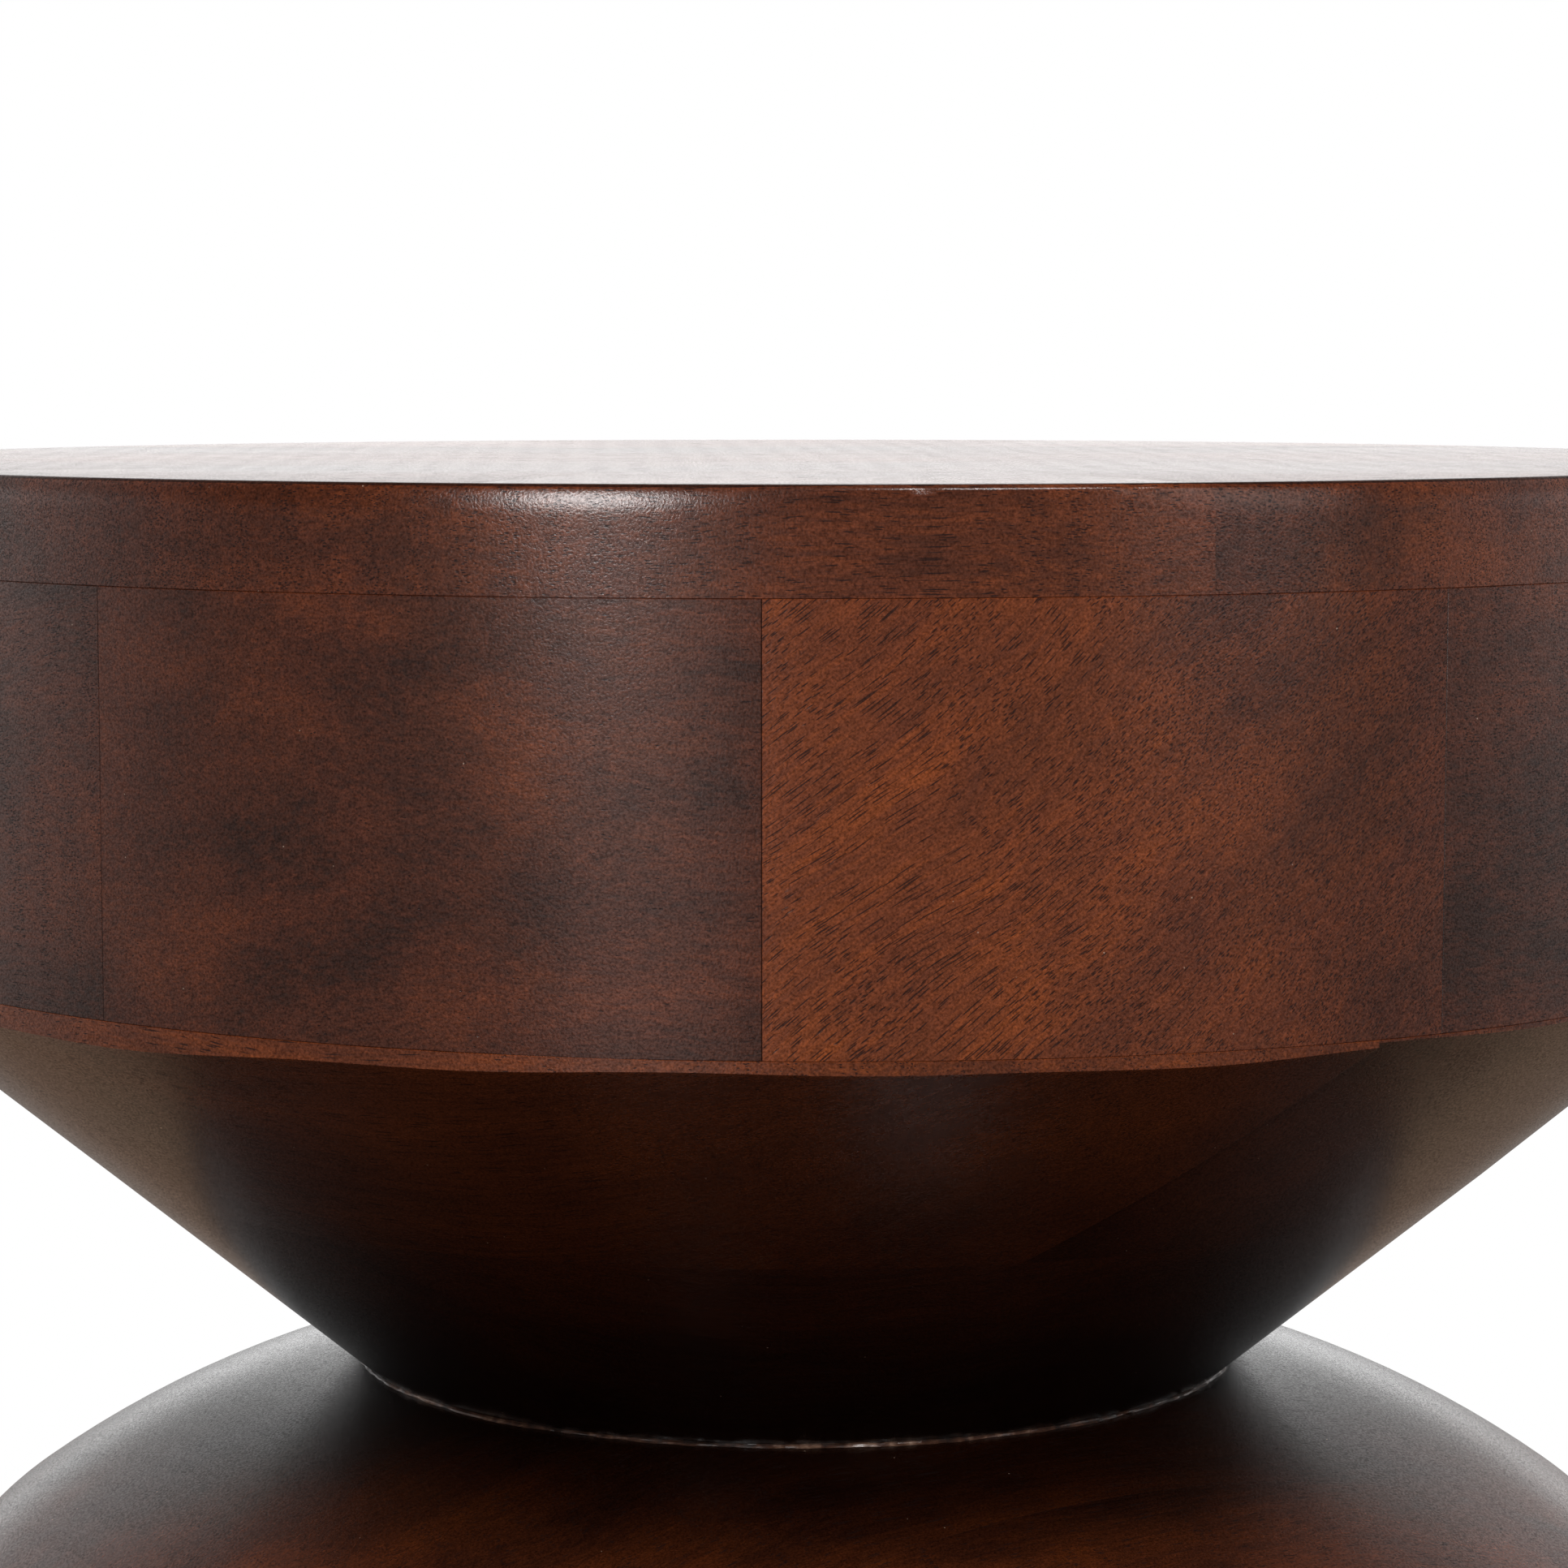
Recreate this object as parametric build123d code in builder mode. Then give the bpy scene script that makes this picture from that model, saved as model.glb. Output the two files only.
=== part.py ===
from build123d import *

# A waisted drum table in stained hardwood. A coopered drum stands under a glued-up top, a turned
# cone of stacked boards narrows to the waist, and a turned dome of stacked boards widens again
# to a coopered skirt. The two halves are doweled and bolted together through the waist.
#
# Frame: +Z is up, the origin is on the floor under the middle, the front faces -Y.
# Lengths are in millimetres, angles in degrees, and bearings are measured from +X.
import os
from math import atan2, degrees, radians, tan

# Heights, from the table top down to the floor
top_thickness = 19.2
drum_stave_height = 78.6
strip_height = 2.5  # straight edge of the cone block that shows under the drum staves
cone_layer_thickness = 46.85  # the cone is two such layers
dome_layer_thickness = 34.9  # the dome is two such layers
skirt_stave_height = 191.9
glide_height = 4.0

# Diameters
top_diameter = 406.4
waist_diameter = 187.2
skirt_diameter = 379.0

# The dome's shoulder: an arc that starts upright on the skirt and turns in towards the waist
shoulder_radius = 45.0
shoulder_turn = 54.5

# Broken edges
rim_chamfer = 1.0  # top edge of the table top
waist_chamfer = 0.8  # lower edge of the cone, where it meets the dome
foot_chamfer = 2.0  # lower outer edge of the skirt

# Staves: flat stock, mitred into a ring and turned round on the outside only
stave_count = 10
drum_stave_stock = 38.0
skirt_stave_stock = 38.0
drum_seam_bearing = -91.64  # where one seam of the drum stands
skirt_seam_bearing = -73.64  # the skirt's seams stand half a stave away from the drum's

# Boards of each layer: how many, the width of one and how far the row of them is shifted off
# the axis, both as shares of the layer's radius, and the bearing of the grain
top_board_count = 7
top_board_share = 0.376
top_shift_share = -0.007
top_grain_bearing = 1.9
cone_upper_board_count = 4
cone_upper_board_share = 0.537
cone_upper_shift_share = 0.0
cone_upper_grain_bearing = -27.2
cone_lower_board_count = 4
cone_lower_board_share = 0.51
cone_lower_shift_share = 0.0
cone_lower_grain_bearing = 0.0
dome_upper_board_count = 4
dome_upper_board_share = 0.631
dome_upper_shift_share = -0.069
dome_upper_grain_bearing = 31.5
dome_lower_board_count = 4
dome_lower_board_share = 0.576
dome_lower_shift_share = 0.0
dome_lower_grain_bearing = 121.5

# Dowels in the waist
dowel_count = 4
dowel_diameter = 12.0
dowel_length = 60.0
dowel_circle_diameter = 124.0
dowel_bearing = 45.0
dowel_clearance = 0.1  # all round
dowel_end_room = 0.8  # glue room at each end of a dowel

# Bolt through the dome into a threaded insert in the cone
bolt_diameter = 10.0
bolt_length = 100.0  # under the head
bolt_head_flats = 17.0
bolt_head_height = 6.4
bolt_hole_clearance = 0.5  # all round
bolt_end_room = 2.0
washer_diameter = 30.0
washer_thickness = 2.5
insert_diameter = 15.0
insert_length = 25.0
thread_clearance = 0.05  # all round, between bolt and insert

# Panel that closes the skirt, screwed up into cleats on every other stave
panel_thickness = 12.0
panel_recess = 8.0  # above the skirt's lower edge
panel_clearance = 0.3  # all round
cleat_count = 5
cleat_width = 32.0
cleat_depth = 24.0
cleat_height = 60.0
screw_length = 40.0
screw_diameter = 4.0
screw_head_diameter = 8.0
screw_head_height = 2.4
screw_hole_clearance = 0.1  # all round

# Nailed glides under the staves between the cleats
glide_count = 5
glide_diameter = 25.0
glide_edge_chamfer = 0.8
nail_diameter = 2.4
nail_length = 22.0
nail_head_diameter = 7.0
nail_head_height = 1.2
nail_head_recess = 1.0  # above the floor
nail_clearance = 0.05  # all round

# Radii and levels that follow from the sizes above
top_radius = top_diameter / 2
waist_radius = waist_diameter / 2
skirt_radius = skirt_diameter / 2
skirt_bottom = glide_height
skirt_top = skirt_bottom + skirt_stave_height
dome_middle = skirt_top + dome_layer_thickness
waist_level = dome_middle + dome_layer_thickness
cone_middle = waist_level + cone_layer_thickness
cone_top = cone_middle + cone_layer_thickness
drum_top = cone_top + drum_stave_height
arris_level = cone_top - strip_height
half_stave = 180 / stave_count
drum_inner_apothem = top_radius - drum_stave_stock
skirt_inner_apothem = skirt_radius - skirt_stave_stock


def cone_radius(level):
    """Radius of the straight cone between the waist and the drum's lower edge."""
    share = (level - waist_level) / (arris_level - waist_level)
    return waist_radius + share * (top_radius - waist_radius)


def board_edges(radius, count, width_share, shift_share):
    """Where the boards of a round layer begin and end, across the grain. The row starts and
    ends beyond the layer, so that turning it cuts the outer two boards round."""
    middle = count / 2
    shares = [shift_share + (number - middle) * width_share for number in range(1, count)]
    return [-2 * radius, *[share * radius for share in shares], 2 * radius]


def board_strip(level, bearing, length, near, far):
    """The strip of a round layer that one board fills."""
    with BuildSketch(Plane.XY.offset(level).rotated((0, 0, bearing))) as strip:
        with Locations((0, (near + far) / 2)):
            Rectangle(length, far - near)
    return strip.sketch


def stave_section(level, bearing, outer_radius, inner_apothem):
    """Section of one stave: round outside, flat inside, mitred along both edges."""
    corner = inner_apothem * tan(radians(half_stave))
    with BuildSketch(Plane.XY.offset(level).rotated((0, 0, bearing))) as section:
        with BuildLine():
            outside = CenterArc((0, 0), outer_radius, -half_stave, 2 * half_stave)
            Polyline(outside @ 1, (inner_apothem, corner), (inner_apothem, -corner), outside @ 0)
        make_face()
    return section.sketch


def round_section(diameter, level, circle_radius=0.0, count=1, bearing=0.0):
    """Round sections on the axis, or spread evenly round a circle."""
    with BuildSketch(Plane.XY.offset(level)) as section:
        with PolarLocations(circle_radius, count, start_angle=bearing):
            Circle(diameter / 2)
    return section.sketch


def save(piece, name):
    """Labels a finished piece and writes it."""
    piece.part.label = name
    export_step(piece.part, f"parts/{name}.step")


def save_boards(blank, name, level, thickness, count, width_share, shift_share, bearing):
    """Cuts a turned layer into the boards it was glued up from, and writes them."""
    radius = blank.part.bounding_box().max.X
    edges = board_edges(radius, count, width_share, shift_share)
    for number, (near, far) in enumerate(zip(edges, edges[1:]), start=1):
        strip = board_strip(level, bearing, 4 * radius, near, far)
        with BuildPart() as board:
            add(blank.part)
            extrude(strip, amount=thickness, mode=Mode.INTERSECT)
        save(board, f"{name}_{number}")


os.makedirs("parts", exist_ok=True)

# Table top: boards edge to edge, turned round, with the rim's edge broken
with BuildPart() as top_blank:
    with BuildSketch(Plane.XZ):
        with Locations((0, drum_top)):
            Rectangle(top_radius, top_thickness, align=(Align.MIN, Align.MIN))
        chamfer(vertices().group_by(Axis.Y)[-1].sort_by(Axis.X)[-1], rim_chamfer)
    revolve(axis=Axis.Z)
save_boards(
    top_blank,
    "top_board",
    drum_top,
    top_thickness,
    top_board_count,
    top_board_share,
    top_shift_share,
    top_grain_bearing,
)

# Drum: a ring of staves
for number in range(1, stave_count + 1):
    bearing = drum_seam_bearing + (2 * number - 1) * half_stave
    with BuildPart() as drum_stave:
        section = stave_section(cone_top, bearing, top_radius, drum_inner_apothem)
        extrude(section, amount=drum_stave_height)
    save(drum_stave, f"drum_stave_{number}")

# Holes through the waist: for the dowels, the bolt and its insert
dowel_circle_radius = dowel_circle_diameter / 2
dowel_hole_diameter = dowel_diameter + 2 * dowel_clearance
dowel_hole_length = dowel_length + 2 * dowel_end_room
bolt_hole_diameter = bolt_diameter + 2 * bolt_hole_clearance
with BuildPart() as waist_holes:
    dowel_holes = round_section(
        dowel_hole_diameter,
        waist_level - dowel_hole_length / 2,
        dowel_circle_radius,
        dowel_count,
        dowel_bearing,
    )
    extrude(dowel_holes, amount=dowel_hole_length)
    bolt_hole = round_section(bolt_hole_diameter, skirt_top)
    extrude(bolt_hole, amount=bolt_length - washer_thickness + bolt_end_room)
    insert_hole = round_section(insert_diameter, waist_level)
    extrude(insert_hole, amount=insert_length)

# Cone, upper layer: it carries the staves on a short straight edge, then slopes inwards
with BuildPart() as cone_upper_blank:
    with BuildSketch(Plane.XZ):
        with BuildLine():
            Polyline(
                (0, cone_middle),
                (cone_radius(cone_middle), cone_middle),
                (top_radius, arris_level),
                (top_radius, cone_top),
                (0, cone_top),
                close=True,
            )
        make_face()
    revolve(axis=Axis.Z)
    add(waist_holes.part, mode=Mode.SUBTRACT)
save_boards(
    cone_upper_blank,
    "cone_upper_board",
    cone_middle,
    cone_layer_thickness,
    cone_upper_board_count,
    cone_upper_board_share,
    cone_upper_shift_share,
    cone_upper_grain_bearing,
)

# Cone, lower layer: down to the waist, where its edge is broken
with BuildPart() as cone_lower_blank:
    with BuildSketch(Plane.XZ):
        with BuildLine():
            Polyline(
                (0, waist_level),
                (waist_radius, waist_level),
                (cone_radius(cone_middle), cone_middle),
                (0, cone_middle),
                close=True,
            )
        make_face()
        chamfer(vertices().group_by(Axis.Y)[0].sort_by(Axis.X)[-1], waist_chamfer)
    revolve(axis=Axis.Z)
    add(waist_holes.part, mode=Mode.SUBTRACT)
save_boards(
    cone_lower_blank,
    "cone_lower_board",
    waist_level,
    cone_layer_thickness,
    cone_lower_board_count,
    cone_lower_board_share,
    cone_lower_shift_share,
    cone_lower_grain_bearing,
)

# Dome: turned in one piece from its two layers, a tight shoulder running into a flatter crown
with BuildPart() as dome_blank:
    with BuildSketch(Plane.XZ):
        with BuildLine():
            shoulder_centre = (skirt_radius - shoulder_radius, skirt_top)
            shoulder = CenterArc(shoulder_centre, shoulder_radius, 0, shoulder_turn)
            crown = TangentArc(shoulder @ 1, (waist_radius, waist_level), tangent=shoulder % 1)
            Polyline(crown @ 1, (0, waist_level), (0, skirt_top), shoulder @ 0)
        make_face()
    revolve(axis=Axis.Z)
    add(waist_holes.part, mode=Mode.SUBTRACT)

with BuildPart() as dome_upper_blank:
    add(dome_blank.part)
    layer = round_section(skirt_diameter, dome_middle)
    extrude(layer, amount=dome_layer_thickness, mode=Mode.INTERSECT)
save_boards(
    dome_upper_blank,
    "dome_upper_board",
    dome_middle,
    dome_layer_thickness,
    dome_upper_board_count,
    dome_upper_board_share,
    dome_upper_shift_share,
    dome_upper_grain_bearing,
)

# The lower layer's grain crosses that of the upper one
save_boards(
    dome_blank,
    "dome_lower_board",
    skirt_top,
    dome_layer_thickness,
    dome_lower_board_count,
    dome_lower_board_share,
    dome_lower_shift_share,
    dome_lower_grain_bearing,
)

# Dowels, half in the dome and half in the cone
with BuildPart() as waist_dowels:
    dowels = round_section(
        dowel_diameter,
        waist_level - dowel_length / 2,
        dowel_circle_radius,
        dowel_count,
        dowel_bearing,
    )
    extrude(dowels, amount=dowel_length)
save(waist_dowels, "waist_dowels")

# Bolt, head down against its washer under the dome, and the insert that it turns into
bolt_seat = skirt_top - washer_thickness
with BuildPart() as waist_bolt:
    with BuildSketch(Plane.XY.offset(bolt_seat)):
        RegularPolygon(bolt_head_flats / 2, 6, major_radius=False)
    extrude(amount=-bolt_head_height)
    extrude(round_section(bolt_diameter, bolt_seat), amount=bolt_length)
save(waist_bolt, "waist_bolt")

with BuildPart() as bolt_washer:
    extrude(round_section(washer_diameter, bolt_seat), amount=washer_thickness)
    washer_hole = round_section(bolt_hole_diameter, bolt_seat)
    extrude(washer_hole, amount=washer_thickness, mode=Mode.SUBTRACT)
save(bolt_washer, "bolt_washer")

with BuildPart() as threaded_insert:
    extrude(round_section(insert_diameter, waist_level), amount=insert_length)
    thread = round_section(bolt_diameter + 2 * thread_clearance, waist_level)
    extrude(thread, amount=insert_length, mode=Mode.SUBTRACT)
save(threaded_insert, "threaded_insert")

# Skirt: a ring of taller staves, with a pilot hole for a glide's nail under every other one
glide_circle_radius = skirt_inner_apothem + skirt_stave_stock / 2
glide_bearing = skirt_seam_bearing + half_stave
nail_seat = nail_head_recess + nail_head_height
nail_hole_diameter = nail_diameter + 2 * nail_clearance
glide_places = (glide_circle_radius, glide_count, glide_bearing)
nail_holes = round_section(nail_hole_diameter, nail_seat, *glide_places)
for number in range(1, stave_count + 1):
    bearing = skirt_seam_bearing + (2 * number - 1) * half_stave
    with BuildPart() as skirt_stave:
        section = stave_section(skirt_bottom, bearing, skirt_radius, skirt_inner_apothem)
        extrude(section, amount=skirt_stave_height)
        chamfer(skirt_stave.edges().filter_by(GeomType.CIRCLE).group_by(Axis.Z)[0], foot_chamfer)
        extrude(nail_holes, amount=nail_length, mode=Mode.SUBTRACT)
    save(skirt_stave, f"skirt_stave_{number}")

# Glides, each with its nail driven up into the stave
with BuildPart() as glides:
    extrude(round_section(glide_diameter, 0, *glide_places), amount=glide_height)
    chamfer(glides.edges().group_by(Axis.Z)[0], glide_edge_chamfer)
    extrude(nail_holes, amount=nail_length, mode=Mode.SUBTRACT)
    head_hole_diameter = nail_head_diameter + 2 * nail_clearance
    head_holes = round_section(head_hole_diameter, 0, *glide_places)
    extrude(head_holes, amount=nail_seat, mode=Mode.SUBTRACT)
save(glides, "glides")

with BuildPart() as glide_nails:
    heads = round_section(nail_head_diameter, nail_head_recess, *glide_places)
    extrude(heads, amount=nail_head_height)
    shanks = round_section(nail_diameter, nail_seat, *glide_places)
    extrude(shanks, amount=nail_length)
save(glide_nails, "glide_nails")

# Cleats, glued inside the staves between the glides, with pilot holes for the panel's screws
panel_bottom = skirt_bottom + panel_recess
panel_top = panel_bottom + panel_thickness
cleat_circle_radius = skirt_inner_apothem - cleat_depth / 2
cleat_bearing = glide_bearing + 2 * half_stave
cleat_places = (cleat_circle_radius, cleat_count, cleat_bearing)
screw_hole_diameter = screw_diameter + 2 * screw_hole_clearance
with BuildPart() as panel_cleats:
    with BuildSketch(Plane.XY.offset(panel_top)):
        with PolarLocations(*cleat_places):
            Rectangle(cleat_depth, cleat_width)
    extrude(amount=cleat_height)
    screw_holes = round_section(screw_hole_diameter, panel_bottom, *cleat_places)
    extrude(screw_holes, amount=screw_length, mode=Mode.SUBTRACT)
save(panel_cleats, "panel_cleats")

# Panel that closes the skirt from below
head_overhang = (screw_head_diameter - screw_diameter) / 2
with BuildPart() as bottom_panel:
    with BuildSketch(Plane.XY.offset(panel_bottom)):
        RegularPolygon(
            skirt_inner_apothem - panel_clearance,
            stave_count,
            major_radius=False,
            rotation=skirt_seam_bearing,
        )
    extrude(amount=panel_thickness)
    with Locations(Plane.XY.offset(panel_bottom).rotated((180, 0, 0))):
        with PolarLocations(cleat_circle_radius, cleat_count, start_angle=-cleat_bearing):
            CounterSinkHole(
                screw_hole_diameter / 2,
                screw_head_diameter / 2 + screw_hole_clearance,
                panel_thickness,
                counter_sink_angle=2 * degrees(atan2(head_overhang, screw_head_height)),
            )
save(bottom_panel, "bottom_panel")

with BuildPart() as panel_screws:
    with Locations(Plane.XY.offset(panel_bottom)):
        with PolarLocations(*cleat_places):
            Cone(
                screw_head_diameter / 2,
                screw_diameter / 2,
                screw_head_height,
                align=(Align.CENTER, Align.CENTER, Align.MIN),
            )
            Cylinder(
                screw_diameter / 2,
                screw_length,
                align=(Align.CENTER, Align.CENTER, Align.MIN),
            )
save(panel_screws, "panel_screws")
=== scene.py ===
# %% [markdown]
# # A waisted drum table
# The table is built like two barrels on end. A drum of ten staves stands under a glued-up top,
# a cone of stacked boards narrows to the waist, and a dome of stacked boards widens again to a
# skirt of ten taller staves. The wood is stained dark walnut under a satin lacquer.
#
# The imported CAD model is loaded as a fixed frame. Each wooden board and stave gets a finer twin
# that stands exactly where the CAD node does, and every finish is a tree of shader nodes.

# %% Load the frame
import math
from functools import partial

import bmesh
import bpy
import numpy as np
from mathutils import Matrix, Vector, noise


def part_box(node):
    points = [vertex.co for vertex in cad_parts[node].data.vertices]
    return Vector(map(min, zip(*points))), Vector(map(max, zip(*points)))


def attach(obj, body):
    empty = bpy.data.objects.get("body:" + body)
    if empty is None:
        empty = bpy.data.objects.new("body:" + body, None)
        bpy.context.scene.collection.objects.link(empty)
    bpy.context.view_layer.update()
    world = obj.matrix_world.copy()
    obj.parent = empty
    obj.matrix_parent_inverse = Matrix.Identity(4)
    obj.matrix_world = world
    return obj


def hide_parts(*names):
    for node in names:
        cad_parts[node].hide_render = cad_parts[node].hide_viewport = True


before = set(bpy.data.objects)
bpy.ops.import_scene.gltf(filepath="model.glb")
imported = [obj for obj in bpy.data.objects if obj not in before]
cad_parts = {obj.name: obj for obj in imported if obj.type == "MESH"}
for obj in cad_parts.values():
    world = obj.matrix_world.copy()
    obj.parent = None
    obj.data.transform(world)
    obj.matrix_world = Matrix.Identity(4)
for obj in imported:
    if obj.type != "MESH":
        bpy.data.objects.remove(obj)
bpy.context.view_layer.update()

MM = 0.001

# %% [markdown]
# ## Sizes
# Levels and radii are read from the frame in millimetres, so the twins can't drift from it. Only
# what a box can't tell is written down again further on: how the boards lie in a layer, and how
# the edges are eased.


# %% Levels and radii
def layer(start):
    """Radius, lowest and highest level of all the nodes whose names start that way."""
    boxes = [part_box(name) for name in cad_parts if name.startswith(start)]
    widest = max(high[0] for _, high in boxes) - min(low[0] for low, _ in boxes)
    lowest = min(low[2] for low, _ in boxes)
    highest = max(high[2] for _, high in boxes)
    return widest / 2 / MM, lowest / MM, highest / MM


TOP_RADIUS, DRUM_TOP, TABLE_TOP = layer("top_board")
_, DRUM_BOTTOM, _ = layer("drum_stave")
_, CONE_MIDDLE, _ = layer("cone_upper_board")
CONE_MIDDLE_RADIUS, WAIST_LEVEL, _ = layer("cone_lower_board")
DOME_UPPER_RADIUS, DOME_MIDDLE, _ = layer("dome_upper_board")
SKIRT_RADIUS, SKIRT_TOP, _ = layer("dome_lower_board")
_, SKIRT_BOTTOM, _ = layer("skirt_stave")
STRIP_HEIGHT = 2.5  # the straight edge that the cone keeps under the drum
ARRIS_LEVEL = DRUM_BOTTOM - STRIP_HEIGHT
CONE_SLOPE = (TOP_RADIUS - CONE_MIDDLE_RADIUS) / (ARRIS_LEVEL - CONE_MIDDLE)
WAIST_RADIUS = CONE_MIDDLE_RADIUS - CONE_SLOPE * (CONE_MIDDLE - WAIST_LEVEL)
print(f"top {TOP_RADIUS:.1f}, waist {WAIST_RADIUS:.1f}, skirt {SKIRT_RADIUS:.1f} mm in radius")

# %% [markdown]
# ## Camera
# A long lens, close in and a little above the rim, as for a portrait. It comes first, so that
# everything after it can be judged in a render. Depth of field stays off.

# %% Camera
CAMERA_DISTANCE = 0.9493
CAMERA_HEIGHT = 0.4785
CAMERA_PITCH_DOWN = 5.491
CAMERA_TURN = 0.157

scene = bpy.context.scene
portrait = bpy.data.cameras.new("portrait")
portrait.sensor_width = 36.0
portrait.lens = 102.04
camera = bpy.data.objects.new("portrait", portrait)
camera.location = (0.0, -CAMERA_DISTANCE, CAMERA_HEIGHT)
camera.rotation_euler = (math.radians(90 - CAMERA_PITCH_DOWN), 0.0, math.radians(CAMERA_TURN))
scene.collection.objects.link(camera)
scene.camera = camera
scene.view_settings.view_transform = "Standard"
print("camera with a", portrait.lens, "mm lens")

# %% [markdown]
# ## One helper for every node
# It adds a shader or geometry node with its settings, then goes through the inputs: a socket is
# linked, and a number or a colour is set. It hands back one output, ready to feed the next node.
# So a material is a recipe that adds its patterns and says what goes into the Principled shader.


# %% Node helper and colours
def add_node(tree, kind, inputs=(), out=0, **settings):
    """Adds a node, sets what it is, links or sets its inputs, and returns one output. A kind is
    a shader node unless it says otherwise, and may be followed by its operation. The inputs are
    a list in the order of the sockets, such as a Map Range's value, from and to, or go by name
    in a dict."""
    kind, _, operation = kind.partition(" ")
    node = tree.nodes.new(kind if "Node" in kind else "ShaderNode" + kind)
    if operation:
        node.operation = operation
    for name, value in settings.items():
        setattr(node, name, value)
    for name, value in inputs.items() if isinstance(inputs, dict) else enumerate(inputs):
        if isinstance(value, bpy.types.NodeSocket):
            tree.links.new(value, node.inputs[name])
        else:
            node.inputs[name].default_value = value
    return node.outputs[out] if node.outputs else None


def linear(hex_colour):
    """An sRGB hex colour as linear red, green, blue and alpha."""
    parts = [int(hex_colour[i:i + 2], 16) / 255 for i in (1, 3, 5)]
    return [c / 12.92 if c <= 0.04045 else ((c + 0.055) / 1.055) ** 2.4 for c in parts] + [1.0]


def with_stops(ramp_output, *stops):
    """Gives a colour ramp its (position, hex colour) stops, and hands its output back."""
    elements = ramp_output.node.color_ramp.elements
    for element, (position, colour) in zip((elements[0], elements[-1]), (stops[0], stops[-1])):
        element.position, element.color = position, linear(colour)
    for position, colour in stops[1:-1]:
        elements.new(position).color = linear(colour)
    return ramp_output


def blank_material(name):
    """A material without nodes, and the function that adds them."""
    material = bpy.data.materials.new(name)
    material.use_nodes = True
    material.node_tree.nodes.clear()
    return material, partial(add_node, material.node_tree)


def new_finish(name, recipe, *sizes, **options):
    """A material from a recipe, which adds the patterns and returns the shader's inputs."""
    material, add = blank_material(name)
    shader = add("BsdfPrincipled", recipe(add, *sizes, **options))
    add("OutputMaterial", {"Surface": shader})
    return material


print("walnut stain in linear light:", [round(c, 4) for c in linear("#4A2A1C")[:3]])

# %% [markdown]
# ## The stained wood
# Mango wood, stained dark walnut by wiping and then sprayed with satin lacquer. The eye gets
# five things from that: clouds where the stain took unevenly, soft streaks along the grain, short
# near-black pores that the stain collected in, a dark line at each joint, and a lacquer film whose
# faint orange-peel breaks up the highlights and is glossier where the film is thick. An edge that
# is handled is rubbed paler. The colour also holds a painted dark reflection along the top's
# rounded edge, where it mirrors the dark part of the room, and painted shade that deepens towards
# the corner of the waist, where little light reaches.
#
# The figure must run through each board in its own direction and stop at the joints. So every
# point of a board carries where it lies in that board's timber: along the grain, across it and
# through it. These are plain rotations of the position, so they are exact on any mesh. A second
# attribute holds the distances to the board's two joints and how its warmth drifts from one to
# the other, and a third where in the log it was cut, its warmth and its share of pores.

# %% Stained wood
# All sizes are in millimetres, and a pattern's size is that of one of its cells, along the grain,
# across it and through it
BOARD_SHIFT = (617.0, 283.0, 149.0)  # from one place in the log to the next
WANDER_SIZE = 75.0
WANDER_DEPTH = 16.0
PORE_SIZE = (8.0, 0.38, 0.38)  # a pore fills about half of its cell
LINT_SPACING = 4.5
PEEL_DEPTH = 0.03
PORE_DEPTH = 0.004
JOINT_DEPTH = 0.02
JOINT_WIDTH = 0.26  # half of the dark line along a joint, where it is widest
WAIST_SHADE_LEAST = 0.08  # painted shade: how much of the wood's colour is left at the corner of the waist
THIN_FILM = 0.55  # how much of the lacquer's gloss is left where the film sank in
LACQUER_IOR = 1.5
# Painted dark reflection: a dark band along the top's rounded edge, where it mirrors the dark part of
# the room
PAINTED_DARK_RIM_BAND = ((1.9, 1.2, -1.2), (0.9, 0.55, 1.2))
RUBBED_EDGE = ((0.9, 0.1, 0.2),)


def shrunk(size, unit=1.0):
    """What to multiply a place by, so that one cell of a pattern has this size."""
    return tuple(1 / (side * unit) for side in size)


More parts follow.
